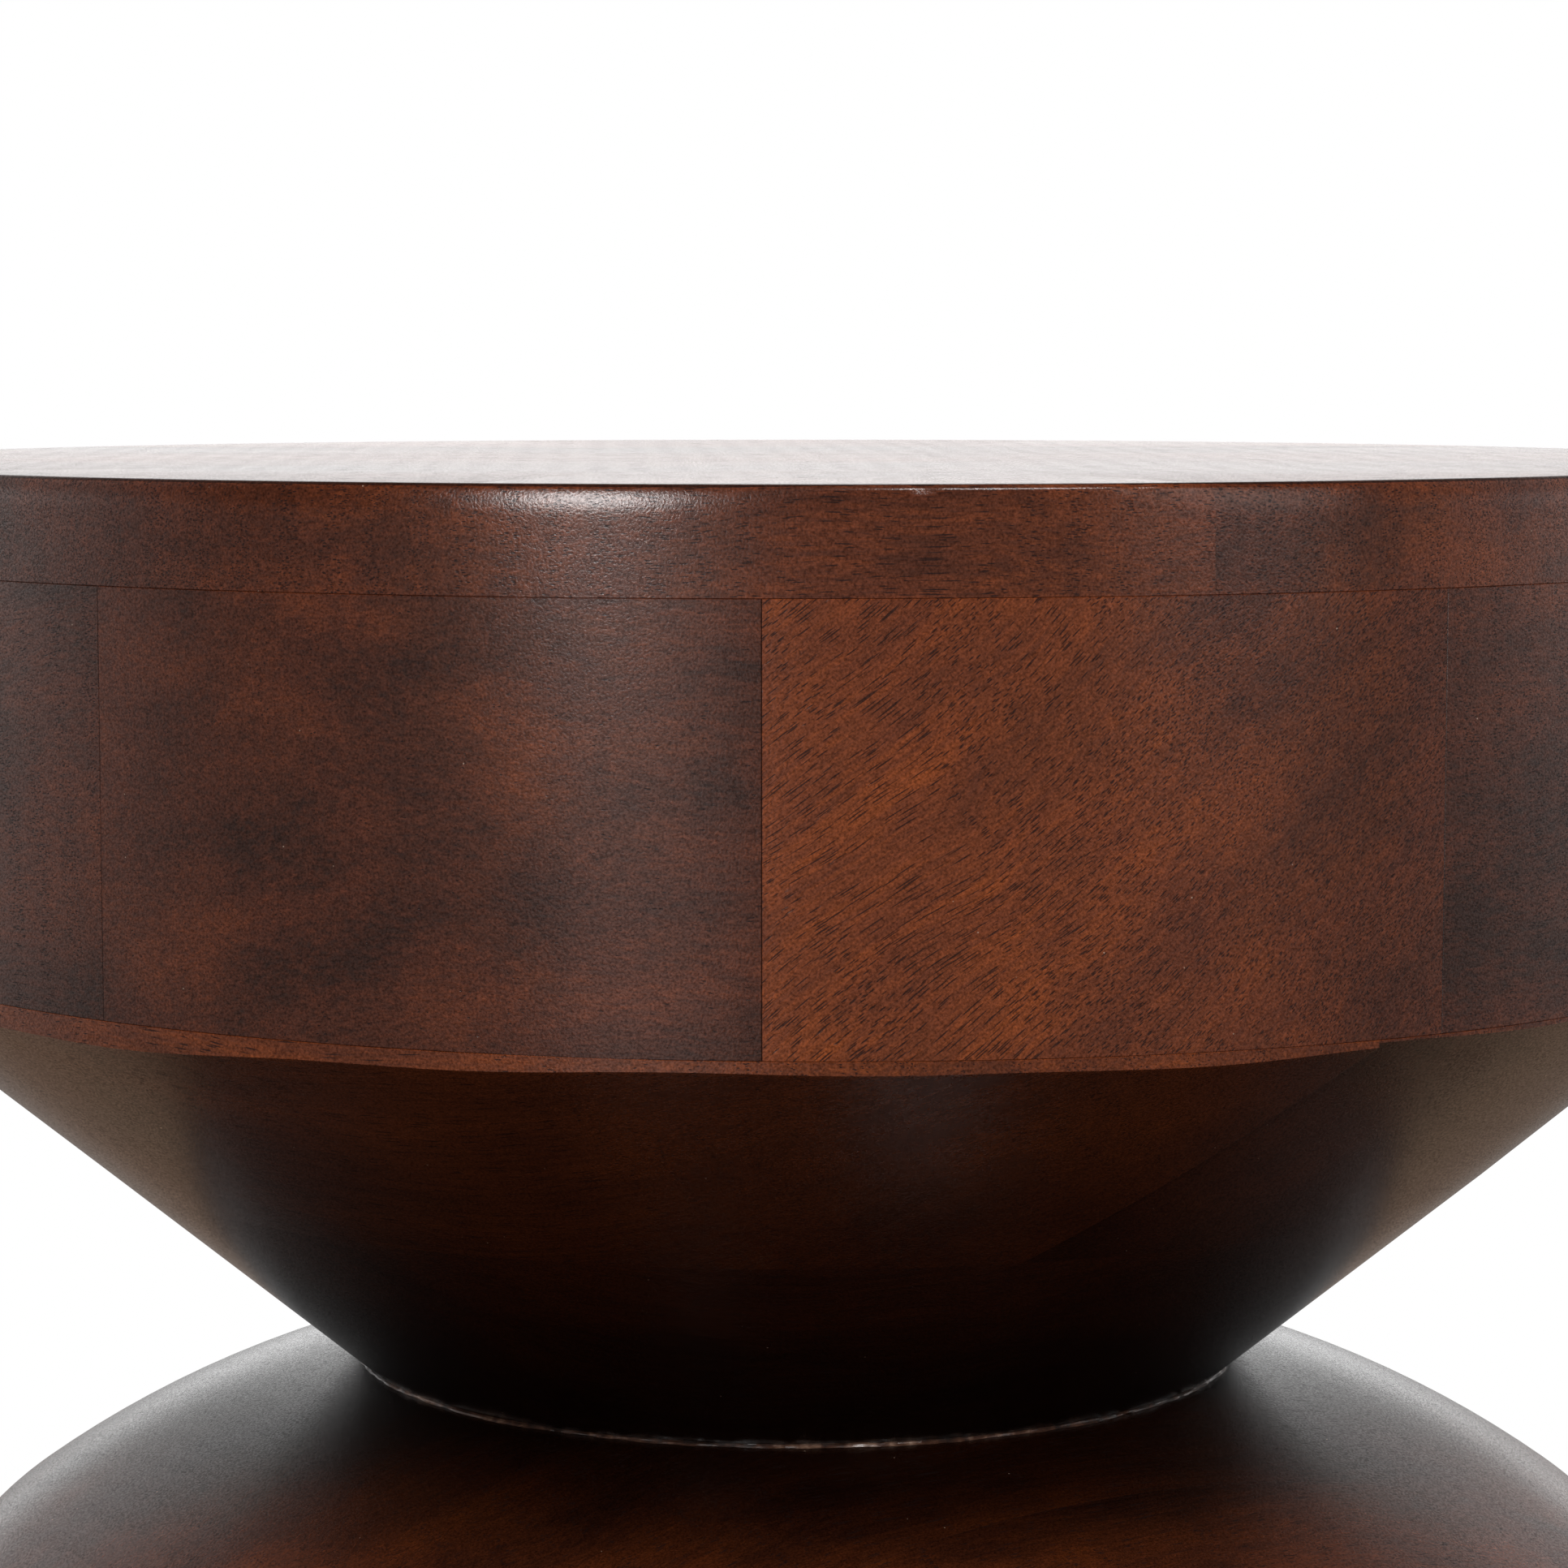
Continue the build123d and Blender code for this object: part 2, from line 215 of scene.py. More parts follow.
def stained_wood(add, joint_darkness=0.8, pooled=0.0, edge=()):
    """Stained mango wood under satin lacquer. The colour darkens towards the corner of the waist
    over the given number of metres: painted shade, where little light reaches the corner. An edge
    band can be darker or paler: it has (start, end, change of tone), in millimetres inside the
    widest radius. The dark band on the top's rim is a painted dark reflection, and the paler arris
    of the cone is rubbed wear."""
    timber, board, edges = (add("Attribute", out="Vector", attribute_name=name)
                            for name in ("timber", "board", "edges"))
    log_place, warmth, pores = add("SeparateXYZ", [board]).node.outputs
    near, far, drift = add("SeparateXYZ", [edges]).node.outputs

    # Place in the timber in millimetres, moved a long way for each board, and the same place
    # along a grain that wanders a few millimetres off its line
    place = add("VectorMath SCALE", {0: timber, "Scale": 1 / MM})
    shift = add("CombineXYZ", [log_place, log_place, log_place])
    lumber = add("VectorMath MULTIPLY_ADD", [shift, BOARD_SHIFT, place])
    inputs = {"Vector": lumber, "Scale": 1 / WANDER_SIZE, "Detail": 2.0}
    wander = add("TexNoise", inputs, out="Color")
    off_line = (0.0, WANDER_DEPTH, WANDER_DEPTH)
    grain = add("VectorMath MULTIPLY_ADD", [wander, off_line, lumber])

    patterns = {}
    for pattern, source, size, detail in (
        ("streaks", grain, (150.0, 14.0, 14.0), 3.0),
        ("lines", grain, (42.0, 1.0, 1.0), 1.0),
        ("fibres", grain, (2.4, 0.3, 0.3), 1.0),
        ("clouds", lumber, (46.0, 34.0, 34.0), 4.0),
        ("peel", place, (0.45, 0.45, 0.45), 1.0),
        ("unevenness", lumber, (2.5, 2.5, 2.5), 2.0),
    ):
        scaled = add("VectorMath MULTIPLY", [source, shrunk(size)])
        inputs = {"Vector": scaled, "Scale": 1.0, "Detail": detail, "Roughness": 0.6}
        patterns[pattern] = add("TexNoise", inputs)

    # Tone: the board's own warmth, which may drift from one joint to the other, shifted by
    # clouds, streaks and lines
    across = add("Math DIVIDE", [near, add("Math ADD", [near, far])])
    off_middle = add("Math SUBTRACT", [across, 0.5])
    tone = add("Math MULTIPLY_ADD", [off_middle, drift, warmth])
    for pattern, depth in (("streaks", 0.7), ("clouds", 0.85), ("lines", 0.5)):
        centred = add("Math SUBTRACT", [patterns[pattern], 0.5])
        tone = add("Math MULTIPLY_ADD", [centred, depth, tone])
    where = add("TexCoord", out="Object")
    flat = add("VectorMath MULTIPLY", [where, (1.0, 1.0, 0.0)])
    radius = add("VectorMath LENGTH", [flat], out="Value")
    # Bands along the edge: on the top a painted dark reflection, on the cone's arris rubbed wear
    for start, end, change in edge:
        start, end = (TOP_RADIUS - start) * MM, (TOP_RADIUS - end) * MM
        tone = add("Math ADD", [tone, add("MapRange", [radius, start, end, 0.0, change])])
    wood = with_stops(add("ValToRGB", [tone]), (0.0, "#26120B"), (0.3, "#401E11"),
                      (0.6, "#572914"), (0.85, "#6A3214"), (1.0, "#7A3C17"))
    for pattern, depth in (("fibres", 0.8), ("peel", 1.9)):
        grey = add("Math MULTIPLY_ADD", [patterns[pattern], depth, 1 - depth / 2])
        wood = add("VectorMath SCALE", {0: wood, "Scale": grey})
    # Painted shade: the colour darkens towards the corner of the waist, where little light reaches
    if pooled:
        level = add("SeparateXYZ", [where], out="Z")
        off_waist = add("Math ABSOLUTE", [add("Math SUBTRACT", [level, WAIST_LEVEL * MM])])
        inputs = [off_waist, 0.0, pooled, WAIST_SHADE_LEAST, 1.0]
        waist_shade = add("MapRange", inputs, interpolation_type="SMOOTHSTEP")
        wood = add("VectorMath SCALE", {0: wood, "Scale": waist_shade})

    # Pores: cells that are long along the grain. Each has a lot number, and is left out where the
    # number is above the share of pores, which is highest in the streaks and low in the clouds.
    # Lint that settled in the lacquer: a few pale specks, drawn by lot in the same way
    crowding = add("Math MULTIPLY_ADD", [patterns["streaks"], 2.2, 0.4])
    crowding = add("Math MULTIPLY_ADD", [patterns["clouds"], -1.4, crowding])
    crowding = add("Math MULTIPLY", [crowding, pores])
    in_pores = add("VectorMath MULTIPLY", [grain, shrunk(PORE_SIZE)])
    specks = []
    for source, scale, share, outside, inside in (
        (in_pores, 1.0, crowding, 0.4, 0.25),
        (lumber, 1 / LINT_SPACING, 0.3, 0.04, 0.02),
    ):
        cell = add("TexVoronoi", {"Vector": source, "Scale": scale}).node.outputs
        lot = add("SeparateXYZ", [cell["Color"]])
        kept = add("Math LESS_THAN", [lot, share])
        specks.append(add("MapRange", [cell["Distance"], outside, inside, 0.0, kept]))
    pore, lint = specks

    # Joint: glue and stain in an uneven line along both edges of the board
    nearest = add("Math MINIMUM", [near, far])
    widest = JOINT_WIDTH * MM
    reach = add("MapRange", [patterns["unevenness"], 0.25, 0.75, 0.3 * widest, widest])
    joint = add("MapRange", [nearest, reach, 0.0], interpolation_type="SMOOTHSTEP")

    for paint, share, depth in (
        ("#19100F", pore, 0.85),
        ("#A08A7A", lint, 0.6),
        ("#170F0D", joint, joint_darkness),
    ):
        share = add("Math MULTIPLY", [share, depth])
        wood = add("Mix", {"Factor": share, 6: wood, 7: linear(paint)}, out=2, data_type="RGBA")

    # Lacquer film: its orange-peel, the dips over pores and joints, and less gloss where it is
    # thin and over a pore
    film = add("Math MULTIPLY", [patterns["peel"], PEEL_DEPTH])
    for dip, depth in ((pore, PORE_DEPTH), (joint, JOINT_DEPTH * joint_darkness)):
        film = add("Math MULTIPLY_ADD", [dip, -depth, film])
    bump = add("Bump", {"Height": film, "Strength": 1.0, "Distance": MM})
    gloss = add("MapRange", [patterns["peel"], 0.32, 0.62, THIN_FILM, 1.0])
    open_pore = add("Math MULTIPLY_ADD", [pore, -0.4, 1.0])
    gloss = add("Math MULTIPLY", [gloss, open_pore])
    return {
        "Base Color": wood, "Roughness": 0.5, "IOR": LACQUER_IOR, "Specular IOR Level": 0.0,
        "Coat Weight": gloss, "Coat Roughness": 0.22, "Coat IOR": LACQUER_IOR,
        "Normal": bump, "Coat Normal": bump,
    }


# The top's edge band is a painted dark reflection, and the cone and dome get painted shade towards
# the waist
FINISHES = {
    f"{part}_wood": new_finish(f"stained mango, {part}", stained_wood, **options)
    for part, options in (
        ("top", {"joint_darkness": 0.08, "edge": PAINTED_DARK_RIM_BAND}),
        ("drum", {}),
        ("cone", {"joint_darkness": 0.35, "pooled": 0.13, "edge": RUBBED_EDGE}),
        ("dome", {"joint_darkness": 0.35, "pooled": 0.03}),
        ("skirt", {}),
    )
}
print(len(FINISHES), "stained woods")

# %% [markdown]
# ## Timber on a mesh
# A board knows its grain as three directions at right angles. The helpers below write the three
# attributes that the stained wood reads, and give a finished piece its place in the frame.


# %% Timber and place
boards_made = []

# Boards were laid out for their figure where they face the front. The others come as they fall
LOG_PLACES = {
    "top_board_1": 65, "top_board_2": 64, "drum_stave_1": 68, "drum_stave_2": 67,
    "drum_stave_9": 61, "drum_stave_10": 81, "cone_upper_board_1": 60, "dome_upper_board_1": 83,
    "dome_upper_board_2": 80,
}


def lay_timber(mesh, directions, joints, warmth, pores, drift=0.0):
    """Writes timber, edges and board. directions lead along, across and through the grain, and
    joints are two (inward direction, offset) planes."""
    boards_made.append(mesh.name)
    log_place = LOG_PLACES.get(mesh.name.removesuffix("_turned"), len(boards_made))
    count = len(mesh.vertices)
    points = np.empty(3 * count)
    mesh.vertices.foreach_get("co", points)
    points = points.reshape(count, 3)
    depths = [points @ np.array(inward) - offset for inward, offset in joints]
    values = {
        "timber": points @ np.array(directions).T,
        "edges": np.column_stack((*depths, np.full(count, drift))),
        "board": np.tile((float(log_place), warmth, pores), (count, 1)),
    }
    for name, rows in values.items():
        attribute = mesh.attributes.new(name, "FLOAT_VECTOR", "POINT")
        attribute.data.foreach_set("vector", rows.astype(np.float32).ravel())


def as_object(name, mesh_or_bmesh):
    """Links a mesh into the scene as an object. A bmesh is turned into a mesh and freed."""
    mesh = mesh_or_bmesh
    if isinstance(mesh, bmesh.types.BMesh):
        mesh = bpy.data.meshes.new(name)
        mesh_or_bmesh.to_mesh(mesh)
        mesh_or_bmesh.free()
    piece = bpy.data.objects.new(name, mesh)
    scene.collection.objects.link(piece)
    return piece


def place_piece(piece, slot, *nodes):
    """Gives a piece its finish, smooth faces with sharp corners, and its place in the frame."""
    piece.data.materials.clear()
    piece.data.materials.append(FINISHES[slot])
    for polygon in piece.data.polygons:
        polygon.use_smooth = True
    piece.data.set_sharp_from_angle(angle=math.radians(16))
    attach(piece, "root")
    if nodes:
        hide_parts(*nodes)


# %% [markdown]
# ## Spinning and cutting
# The top, the two layers of the cone and the two of the dome were each glued up from boards and
# then turned on a lathe. The twins are made the same way: a profile is spun round the axis, and
# the blank is cut along its joints. Spinning comes first because it keeps one smooth surface
# over the joints.

# %% Spin and cut
TURN_STEPS = 720
SLIVER = 0.003  # corners closer than this after drilling are one corner


def arc(centre, radius, start, end, steps):
    """Points along an arc of a profile, without the first one."""
    turns = [start + (end - start) * step / steps for step in range(1, steps + 1)]
    return [(centre[0] + radius * math.cos(t), centre[1] + radius * math.sin(t)) for t in turns]


def spun(profile, steps=TURN_STEPS, waver=None, centre=(0.0, 0.0), ring=False):
    """Spins (radius, level) points in millimetres from the lower centre out, up and back in to
    the upper centre. A ring closes onto its first point instead. waver moves a point by
    (radius, level), from its place in the profile and its bearing in radians."""
    blank = bmesh.new()
    loops = []
    for place, (radius, level) in enumerate(profile):
        loop = []
        for step in range(steps if radius else 1):
            turn = 2 * math.pi * (step + 0.5) / steps
            outward, upward = waver(place, turn) if waver else (0.0, 0.0)
            reach = radius + outward
            x, y = centre[0] + reach * math.cos(turn), centre[1] + reach * math.sin(turn)
            loop.append(blank.verts.new((x * MM, y * MM, (level + upward) * MM)))
        loops.append(loop)
    following = loops[1:] + loops[:1] if ring else loops[1:]
    for lower, upper in zip(loops, following):
        for step in range(steps):
            after = (step + 1) % steps
            corners = [lower[step % len(lower)], lower[after % len(lower)]]
            corners += [upper[after % len(upper)], upper[step % len(upper)]]
            blank.faces.new(dict.fromkeys(corners))
    return blank


def round_steps(cylinders):
    """The profile of cylinders on top of one another, each with (bottom, radius, top)."""
    sides = [(radius, level) for low, radius, high in cylinders for level in (low, high)]
    return [(0, sides[0][1]), *sides, (0, sides[-1][1])]


def cut_board(blank, across, near, far):
    """The part of a blank between two planes at right angles to across, closed at both cuts."""
    board = blank.copy()
    for offset, beyond in ((near, False), (far, True)):
        result = bmesh.ops.bisect_plane(
            board, geom=board.verts[:] + board.edges[:] + board.faces[:], dist=1e-7,
            plane_co=across * offset, plane_no=across,
            clear_outer=beyond, clear_inner=not beyond)
        rim = [item for item in result["geom_cut"] if isinstance(item, bmesh.types.BMEdge)]
        if rim:
            bmesh.ops.holes_fill(board, edges=rim, sides=0)
    return board


def applied(piece, modifier):
    """A new mesh of the piece with its modifier worked in. The modifier is taken off."""
    evaluated = piece.evaluated_get(bpy.context.evaluated_depsgraph_get())
    mesh = bpy.data.meshes.new_from_object(evaluated)
    piece.modifiers.remove(modifier)
    return mesh


def drill(piece, cutter):
    """Cuts the cutter out of the piece and leaves a plain mesh without slivers."""
    modifier = piece.modifiers.new("drill", "BOOLEAN")
    modifier.operation = "DIFFERENCE"
    modifier.solver = "EXACT"
    modifier.object = cutter
    drilled = applied(piece, modifier)
    clean = bmesh.new()
    clean.from_mesh(drilled)
    bmesh.ops.remove_doubles(clean, verts=clean.verts, dist=SLIVER * MM)
    bmesh.ops.recalc_face_normals(clean, faces=clean.faces)
    clean.to_mesh(drilled)
    clean.free()
    drilled.name = piece.name
    piece.data = drilled


def add_holes(cutter, profile, steps, count, circle_radius, first_bearing):
    """Adds a cutter for each of the holes that are spread evenly round a circle."""
    for number in range(count):
        turn = math.radians(first_bearing + 360 / count * number)
        centre = (circle_radius * math.cos(turn), circle_radius * math.sin(turn))
        hole = spun(profile, steps, centre=centre)
        mesh = bpy.data.meshes.new("hole")
        hole.to_mesh(mesh)
        hole.free()
        cutter.from_mesh(mesh)


def lay_boards(start, layer_radius, blank_for, woods, slot, bearing, share, shift=0.0, cutter=None):
    """Cuts a layer into boards and places them. blank_for makes the blank for a board's number,
    and woods gives its (warmth, pores). bearing is the grain's, in degrees, share the width of a
    board and shift what its joints are off the middle, both as parts of the layer's radius."""
    turn = math.radians(bearing)
    along, up = Vector((math.cos(turn), math.sin(turn), 0)), Vector((0, 0, 1))
    across = up.cross(along)
    steps = [shift + (number - len(woods) / 2) * share for number in range(1, len(woods))]
    offsets = [layer_radius * MM * step for step in (-2, *steps, 2)]
    for number, (warmth, pores) in enumerate(woods, start=1):
        near, far = offsets[number - 1:number + 1]
        blank = blank_for(number)
        piece = as_object(f"{start}_{number}_turned", cut_board(blank, across, near, far))
        blank.free()
        if cutter:
            drill(piece, cutter)
        joints = ((across, near), (-across, -far))
        lay_timber(piece.data, (along, across, up), joints, warmth, pores)
        place_piece(piece, slot, f"{start}_{number}")
    print(start, "has", len(woods), "boards")


# %% [markdown]
# ## Holes in the waist
# Four dowels and a bolt hold the cone on the dome. Their holes go through the twins too, so a cut
# through the waist shows them. One cutter drills every board it meets.

# %% Waist holes
DOWELS = 4
DOWEL_BEARING = 45.0
DOWEL_HOLE_RADIUS = 6.1
DOWEL_CIRCLE_RADIUS = 62.0
DOWEL_REACH = 30.8
BOLT_HOLE_RADIUS = 5.5
BOLT_REACH = 29.7
INSERT_HOLE_RADIUS = 7.5
INSERT_REACH = 25.0

spindle = spun(round_steps((
    (SKIRT_TOP - 1, BOLT_HOLE_RADIUS, WAIST_LEVEL),
    (WAIST_LEVEL, INSERT_HOLE_RADIUS, WAIST_LEVEL + INSERT_REACH),
    (WAIST_LEVEL + INSERT_REACH, BOLT_HOLE_RADIUS, WAIST_LEVEL + BOLT_REACH),
)), steps=32)
dowel_hole = round_steps([(WAIST_LEVEL - DOWEL_REACH, DOWEL_HOLE_RADIUS, WAIST_LEVEL + DOWEL_REACH)])
add_holes(spindle, dowel_hole, 32, DOWELS, DOWEL_CIRCLE_RADIUS, DOWEL_BEARING)
waist_cutter = as_object("waist_cutter", spindle)
print("the waist's cutter has", len(waist_cutter.data.polygons), "faces")

# %% [markdown]
# ## Table top
# Seven boards. The sander rolled over at the rim, so the side leans in over its last few
# millimetres and a highlight gathers there. It passed more lightly in a few places, where the
# edge stays crisp and shows only a thin bright line. A couple of knocks nick the edge.

# %% Table top
GROOVE = 0.12  # depth of the fine groove along a glue line
ROLL_HEIGHT = 5.5
ROLL_DEPTH = 0.45
EDGE_RADIUS = 1.15
ROLL_STEPS = 10
EDGE_STEPS = 9
PRESSURE_WAVER = 0.25
LIGHT_PASSES = ((-79.5, 10.5), (57.0, 14.0), (163.0, 9.0))  # bearing and half width, degrees
LIGHT_PASS_RELIEF = 0.9
NICKS = ((-84.0, 0.28), (-73.5, 0.2), (12.0, 0.25), (141.0, 0.3))  # bearing and depth
NICK_HALF_WIDTH = 0.3  # degrees

roll = [(TOP_RADIUS, TABLE_TOP - EDGE_RADIUS - ROLL_HEIGHT * (1 - step / ROLL_STEPS))
        for step in range(ROLL_STEPS + 1)]
edge = arc((TOP_RADIUS - EDGE_RADIUS, TABLE_TOP - EDGE_RADIUS), EDGE_RADIUS, 0.0, math.pi / 2,
           EDGE_STEPS)
top_profile = [(0, DRUM_TOP), (TOP_RADIUS - GROOVE, DRUM_TOP), (TOP_RADIUS, DRUM_TOP + GROOVE)]
first_of_roll = len(top_profile)
top_profile += [*roll, *edge, (0, TABLE_TOP)]


def sanded_rim(place, turn):
    """Moves the rim inwards where the sander rolled over it, and at the nicks. The edge's arc
    starts at the angle that the rolled side ends with, so the two meet without a crease."""
    if not first_of_roll <= place < len(top_profile) - 1:
        return 0.0, 0.0
    bearing = (math.degrees(turn) + 180) % 360 - 180
    around = Vector((3 * math.cos(turn), 3 * math.sin(turn), 7.0))
    pressure = 1 + PRESSURE_WAVER * noise.noise(around)
    for middle, half_width in LIGHT_PASSES:
        pressure -= LIGHT_PASS_RELIEF * math.exp(-((bearing - middle) / half_width) ** 6)
    depth = pressure * ROLL_DEPTH
    lean = math.atan(3 * depth / ROLL_HEIGHT)
    share = (place - first_of_roll) / ROLL_STEPS
    if share < 1:
        return -depth * share**3, EDGE_RADIUS * math.sin(lean) * share
    for middle, nick in NICKS:
        if abs(bearing - middle) < NICK_HALF_WIDTH:
            depth += nick
    angle = lean + (math.pi / 2 - lean) * (place - first_of_roll - ROLL_STEPS) / EDGE_STEPS
    radius = TOP_RADIUS - depth + EDGE_RADIUS * (math.cos(angle) - math.cos(lean))
    level = TABLE_TOP - EDGE_RADIUS * (1 - math.sin(angle))
    return radius - top_profile[place][0], level - top_profile[place][1]


TOP_WOODS = ((0.38, 0.5), (0.36, 0.8), (0.3, 0.5), (0.5, 0.8), (0.35, 0.6), (0.55, 0.5), (0.4, 0.5))
lay_boards("top_board", TOP_RADIUS, lambda number: spun(top_profile, waver=sanded_rim),
           TOP_WOODS, "top_wood", bearing=1.9, share=0.376, shift=-0.007)

# %% [markdown]
# ## Cone
# Two layers of thick boards, turned to one slope. The upper one keeps a short straight edge under
# the drum. A hand held the gouge there, so its lower corner wavers by a millimetre or so, and
# each board has moved a little by itself since it was glued. A few sines with no common beat make
# a waver that never repeats round the table. The drum was also planed slightly out of level, so
# its glue line falls a little to the right.

# %% Cone
ARRIS_WAVES = ((2, 0.66, 2.71), (4, 0.44, 1.79), (7, 0.31, 1.49), (13, 0.15, 2.94), (19, 0.25, 2.25))
ARRIS_STEPS = (0.0, 0.85, 0.85, 0.3)  # how far each board's corner stands up
HIGHEST_ARRIS = 1.7
DRUM_TILT = -0.005


def wavering_arris(number, place, turn):
    """Lifts the corner of one board's edge, and tilts the glue line above it."""
    if place == 2:
        waves = sum(depth * math.sin(count * turn + start) for count, depth, start in ARRIS_WAVES)
        return 0.0, min(waves + ARRIS_STEPS[number - 1], HIGHEST_ARRIS)
    return 0.0, DRUM_TILT * TOP_RADIUS * math.cos(turn) if place in (3, 4) else 0.0


cone_upper_profile = (
    (0, CONE_MIDDLE), (CONE_MIDDLE_RADIUS, CONE_MIDDLE), (TOP_RADIUS, ARRIS_LEVEL),
    (TOP_RADIUS, DRUM_BOTTOM - GROOVE), (TOP_RADIUS - GROOVE, DRUM_BOTTOM), (0, DRUM_BOTTOM),
)
CONE_UPPER_WOODS = ((0.48, 0.35), (0.25, 0.4), (0.4, 0.4), (0.45, 0.3))
lay_boards("cone_upper_board", TOP_RADIUS,
           lambda number: spun(cone_upper_profile, waver=partial(wavering_arris, number)),
           CONE_UPPER_WOODS, "cone_wood", bearing=-27.2, share=0.537)

cone_lower_profile = (
    (0, WAIST_LEVEL), (WAIST_RADIUS, WAIST_LEVEL), (CONE_MIDDLE_RADIUS, CONE_MIDDLE),
    (0, CONE_MIDDLE),
)
CONE_LOWER_WOODS = ((0.36, 0.35), (0.25, 0.35), (0.3, 0.4), (0.25, 0.3))
lay_boards("cone_lower_board", CONE_MIDDLE_RADIUS, lambda number: spun(cone_lower_profile),
           CONE_LOWER_WOODS, "cone_wood", bearing=0.0, share=0.51, cutter=waist_cutter)

# %% [markdown]
# ## Dome
# Two layers again, turned together: a tight shoulder that starts upright on the skirt and runs
# into a flatter crown. Both are arcs that meet without a corner, so the crown's centre lies on
# the line through the shoulder's end and its centre.

# %% Dome
SHOULDER_RADIUS = 45.0
SHOULDER_TURN = math.radians(54.5)

shoulder_centre = Vector((SKIRT_RADIUS - SHOULDER_RADIUS, SKIRT_TOP))
outwards = Vector((math.cos(SHOULDER_TURN), math.sin(SHOULDER_TURN)))
meeting = shoulder_centre + SHOULDER_RADIUS * outwards
waist = Vector((WAIST_RADIUS, WAIST_LEVEL))
chord = meeting - waist
crown_radius = chord.dot(chord) / (2 * chord.dot(outwards))
crown_centre = meeting - crown_radius * outwards
to_waist = waist - crown_centre
waist_turn = math.atan2(to_waist.y, to_waist.x)
middle_turn = math.asin((DOME_MIDDLE - SKIRT_TOP) / SHOULDER_RADIUS)
below = arc(shoulder_centre, SHOULDER_RADIUS, 0.0, middle_turn, 16)
above = arc(shoulder_centre, SHOULDER_RADIUS, middle_turn, SHOULDER_TURN, 2)
above += arc(crown_centre, crown_radius, SHOULDER_TURN, waist_turn, 16)

dome_upper_profile = ((0, DOME_MIDDLE), below[-1], *above, (0, WAIST_LEVEL))
DOME_UPPER_WOODS = ((0.45, 0.3), (0.5, 0.3), (0.4, 0.4), (0.5, 0.3))
lay_boards("dome_upper_board", DOME_UPPER_RADIUS, lambda number: spun(dome_upper_profile),
           DOME_UPPER_WOODS, "dome_wood", bearing=31.5, share=0.631, shift=-0.069,
           cutter=waist_cutter)

dome_lower_profile = (
    (0, SKIRT_TOP), (SKIRT_RADIUS - GROOVE, SKIRT_TOP), (SKIRT_RADIUS, SKIRT_TOP + GROOVE),
    *below, (0, DOME_MIDDLE),
)
DOME_LOWER_WOODS = ((0.5, 0.35), (0.6, 0.35), (0.4, 0.4), (0.5, 0.4))
lay_boards("dome_lower_board", SKIRT_RADIUS, lambda number: spun(dome_lower_profile),
           DOME_LOWER_WOODS, "dome_wood", bearing=121.5, share=0.576, cutter=waist_cutter)
bpy.data.objects.remove(waist_cutter)

# %% [markdown]
# ## Staves
# Ten staves make the drum and ten the skirt. Each was mitred on both edges and turned on the
# outside only, so its section is an arc outside and a flat inside. All of that follows from a
# few sizes, so a Geometry Nodes tree makes the ring: a cylinder's columns and rows are moved to
# where they belong on one stave, and the stave is set round the axis and numbered.


# %% Coopered ring
def blank_tree(name, **sockets):
    """A Geometry Nodes tree with named inputs of each kind: the tree, the function that adds
    nodes to it, and its inputs."""
    tree = bpy.data.node_groups.new(name, "GeometryNodeTree")
    tree.interface.new_socket("Geometry", in_out="OUTPUT", socket_type="NodeSocketGeometry")
    for kind, names in sockets.items():
        for socket in names:
            tree.interface.new_socket(socket, in_out="INPUT", socket_type="NodeSocket" + kind)
    add = partial(add_node, tree)
    return tree, add, add("NodeGroupInput").node.outputs


def finish_tree(add, instances, material):
    """The end of each tree: its instances are made real and get their material."""
    real = add("GeometryNodeRealizeInstances", [instances])
    finished = add("GeometryNodeSetMaterial", {"Geometry": real, "Material": material})
    add("NodeGroupOutput", {"Geometry": finished})


def through_tree(name, tree, inputs, mesh=None):
    """Sends a mesh through a tree and returns the result as an object with a plain mesh."""
    piece = as_object(name, mesh or bpy.data.meshes.new(name))
    modifier = piece.modifiers.new(name, "NODES")
    modifier.node_group = tree
    for item in tree.interface.items_tree:
        if item.in_out == "INPUT" and item.name in inputs:
            modifier[item.identifier] = inputs[item.name]
    piece.data = applied(piece, modifier)
    return piece


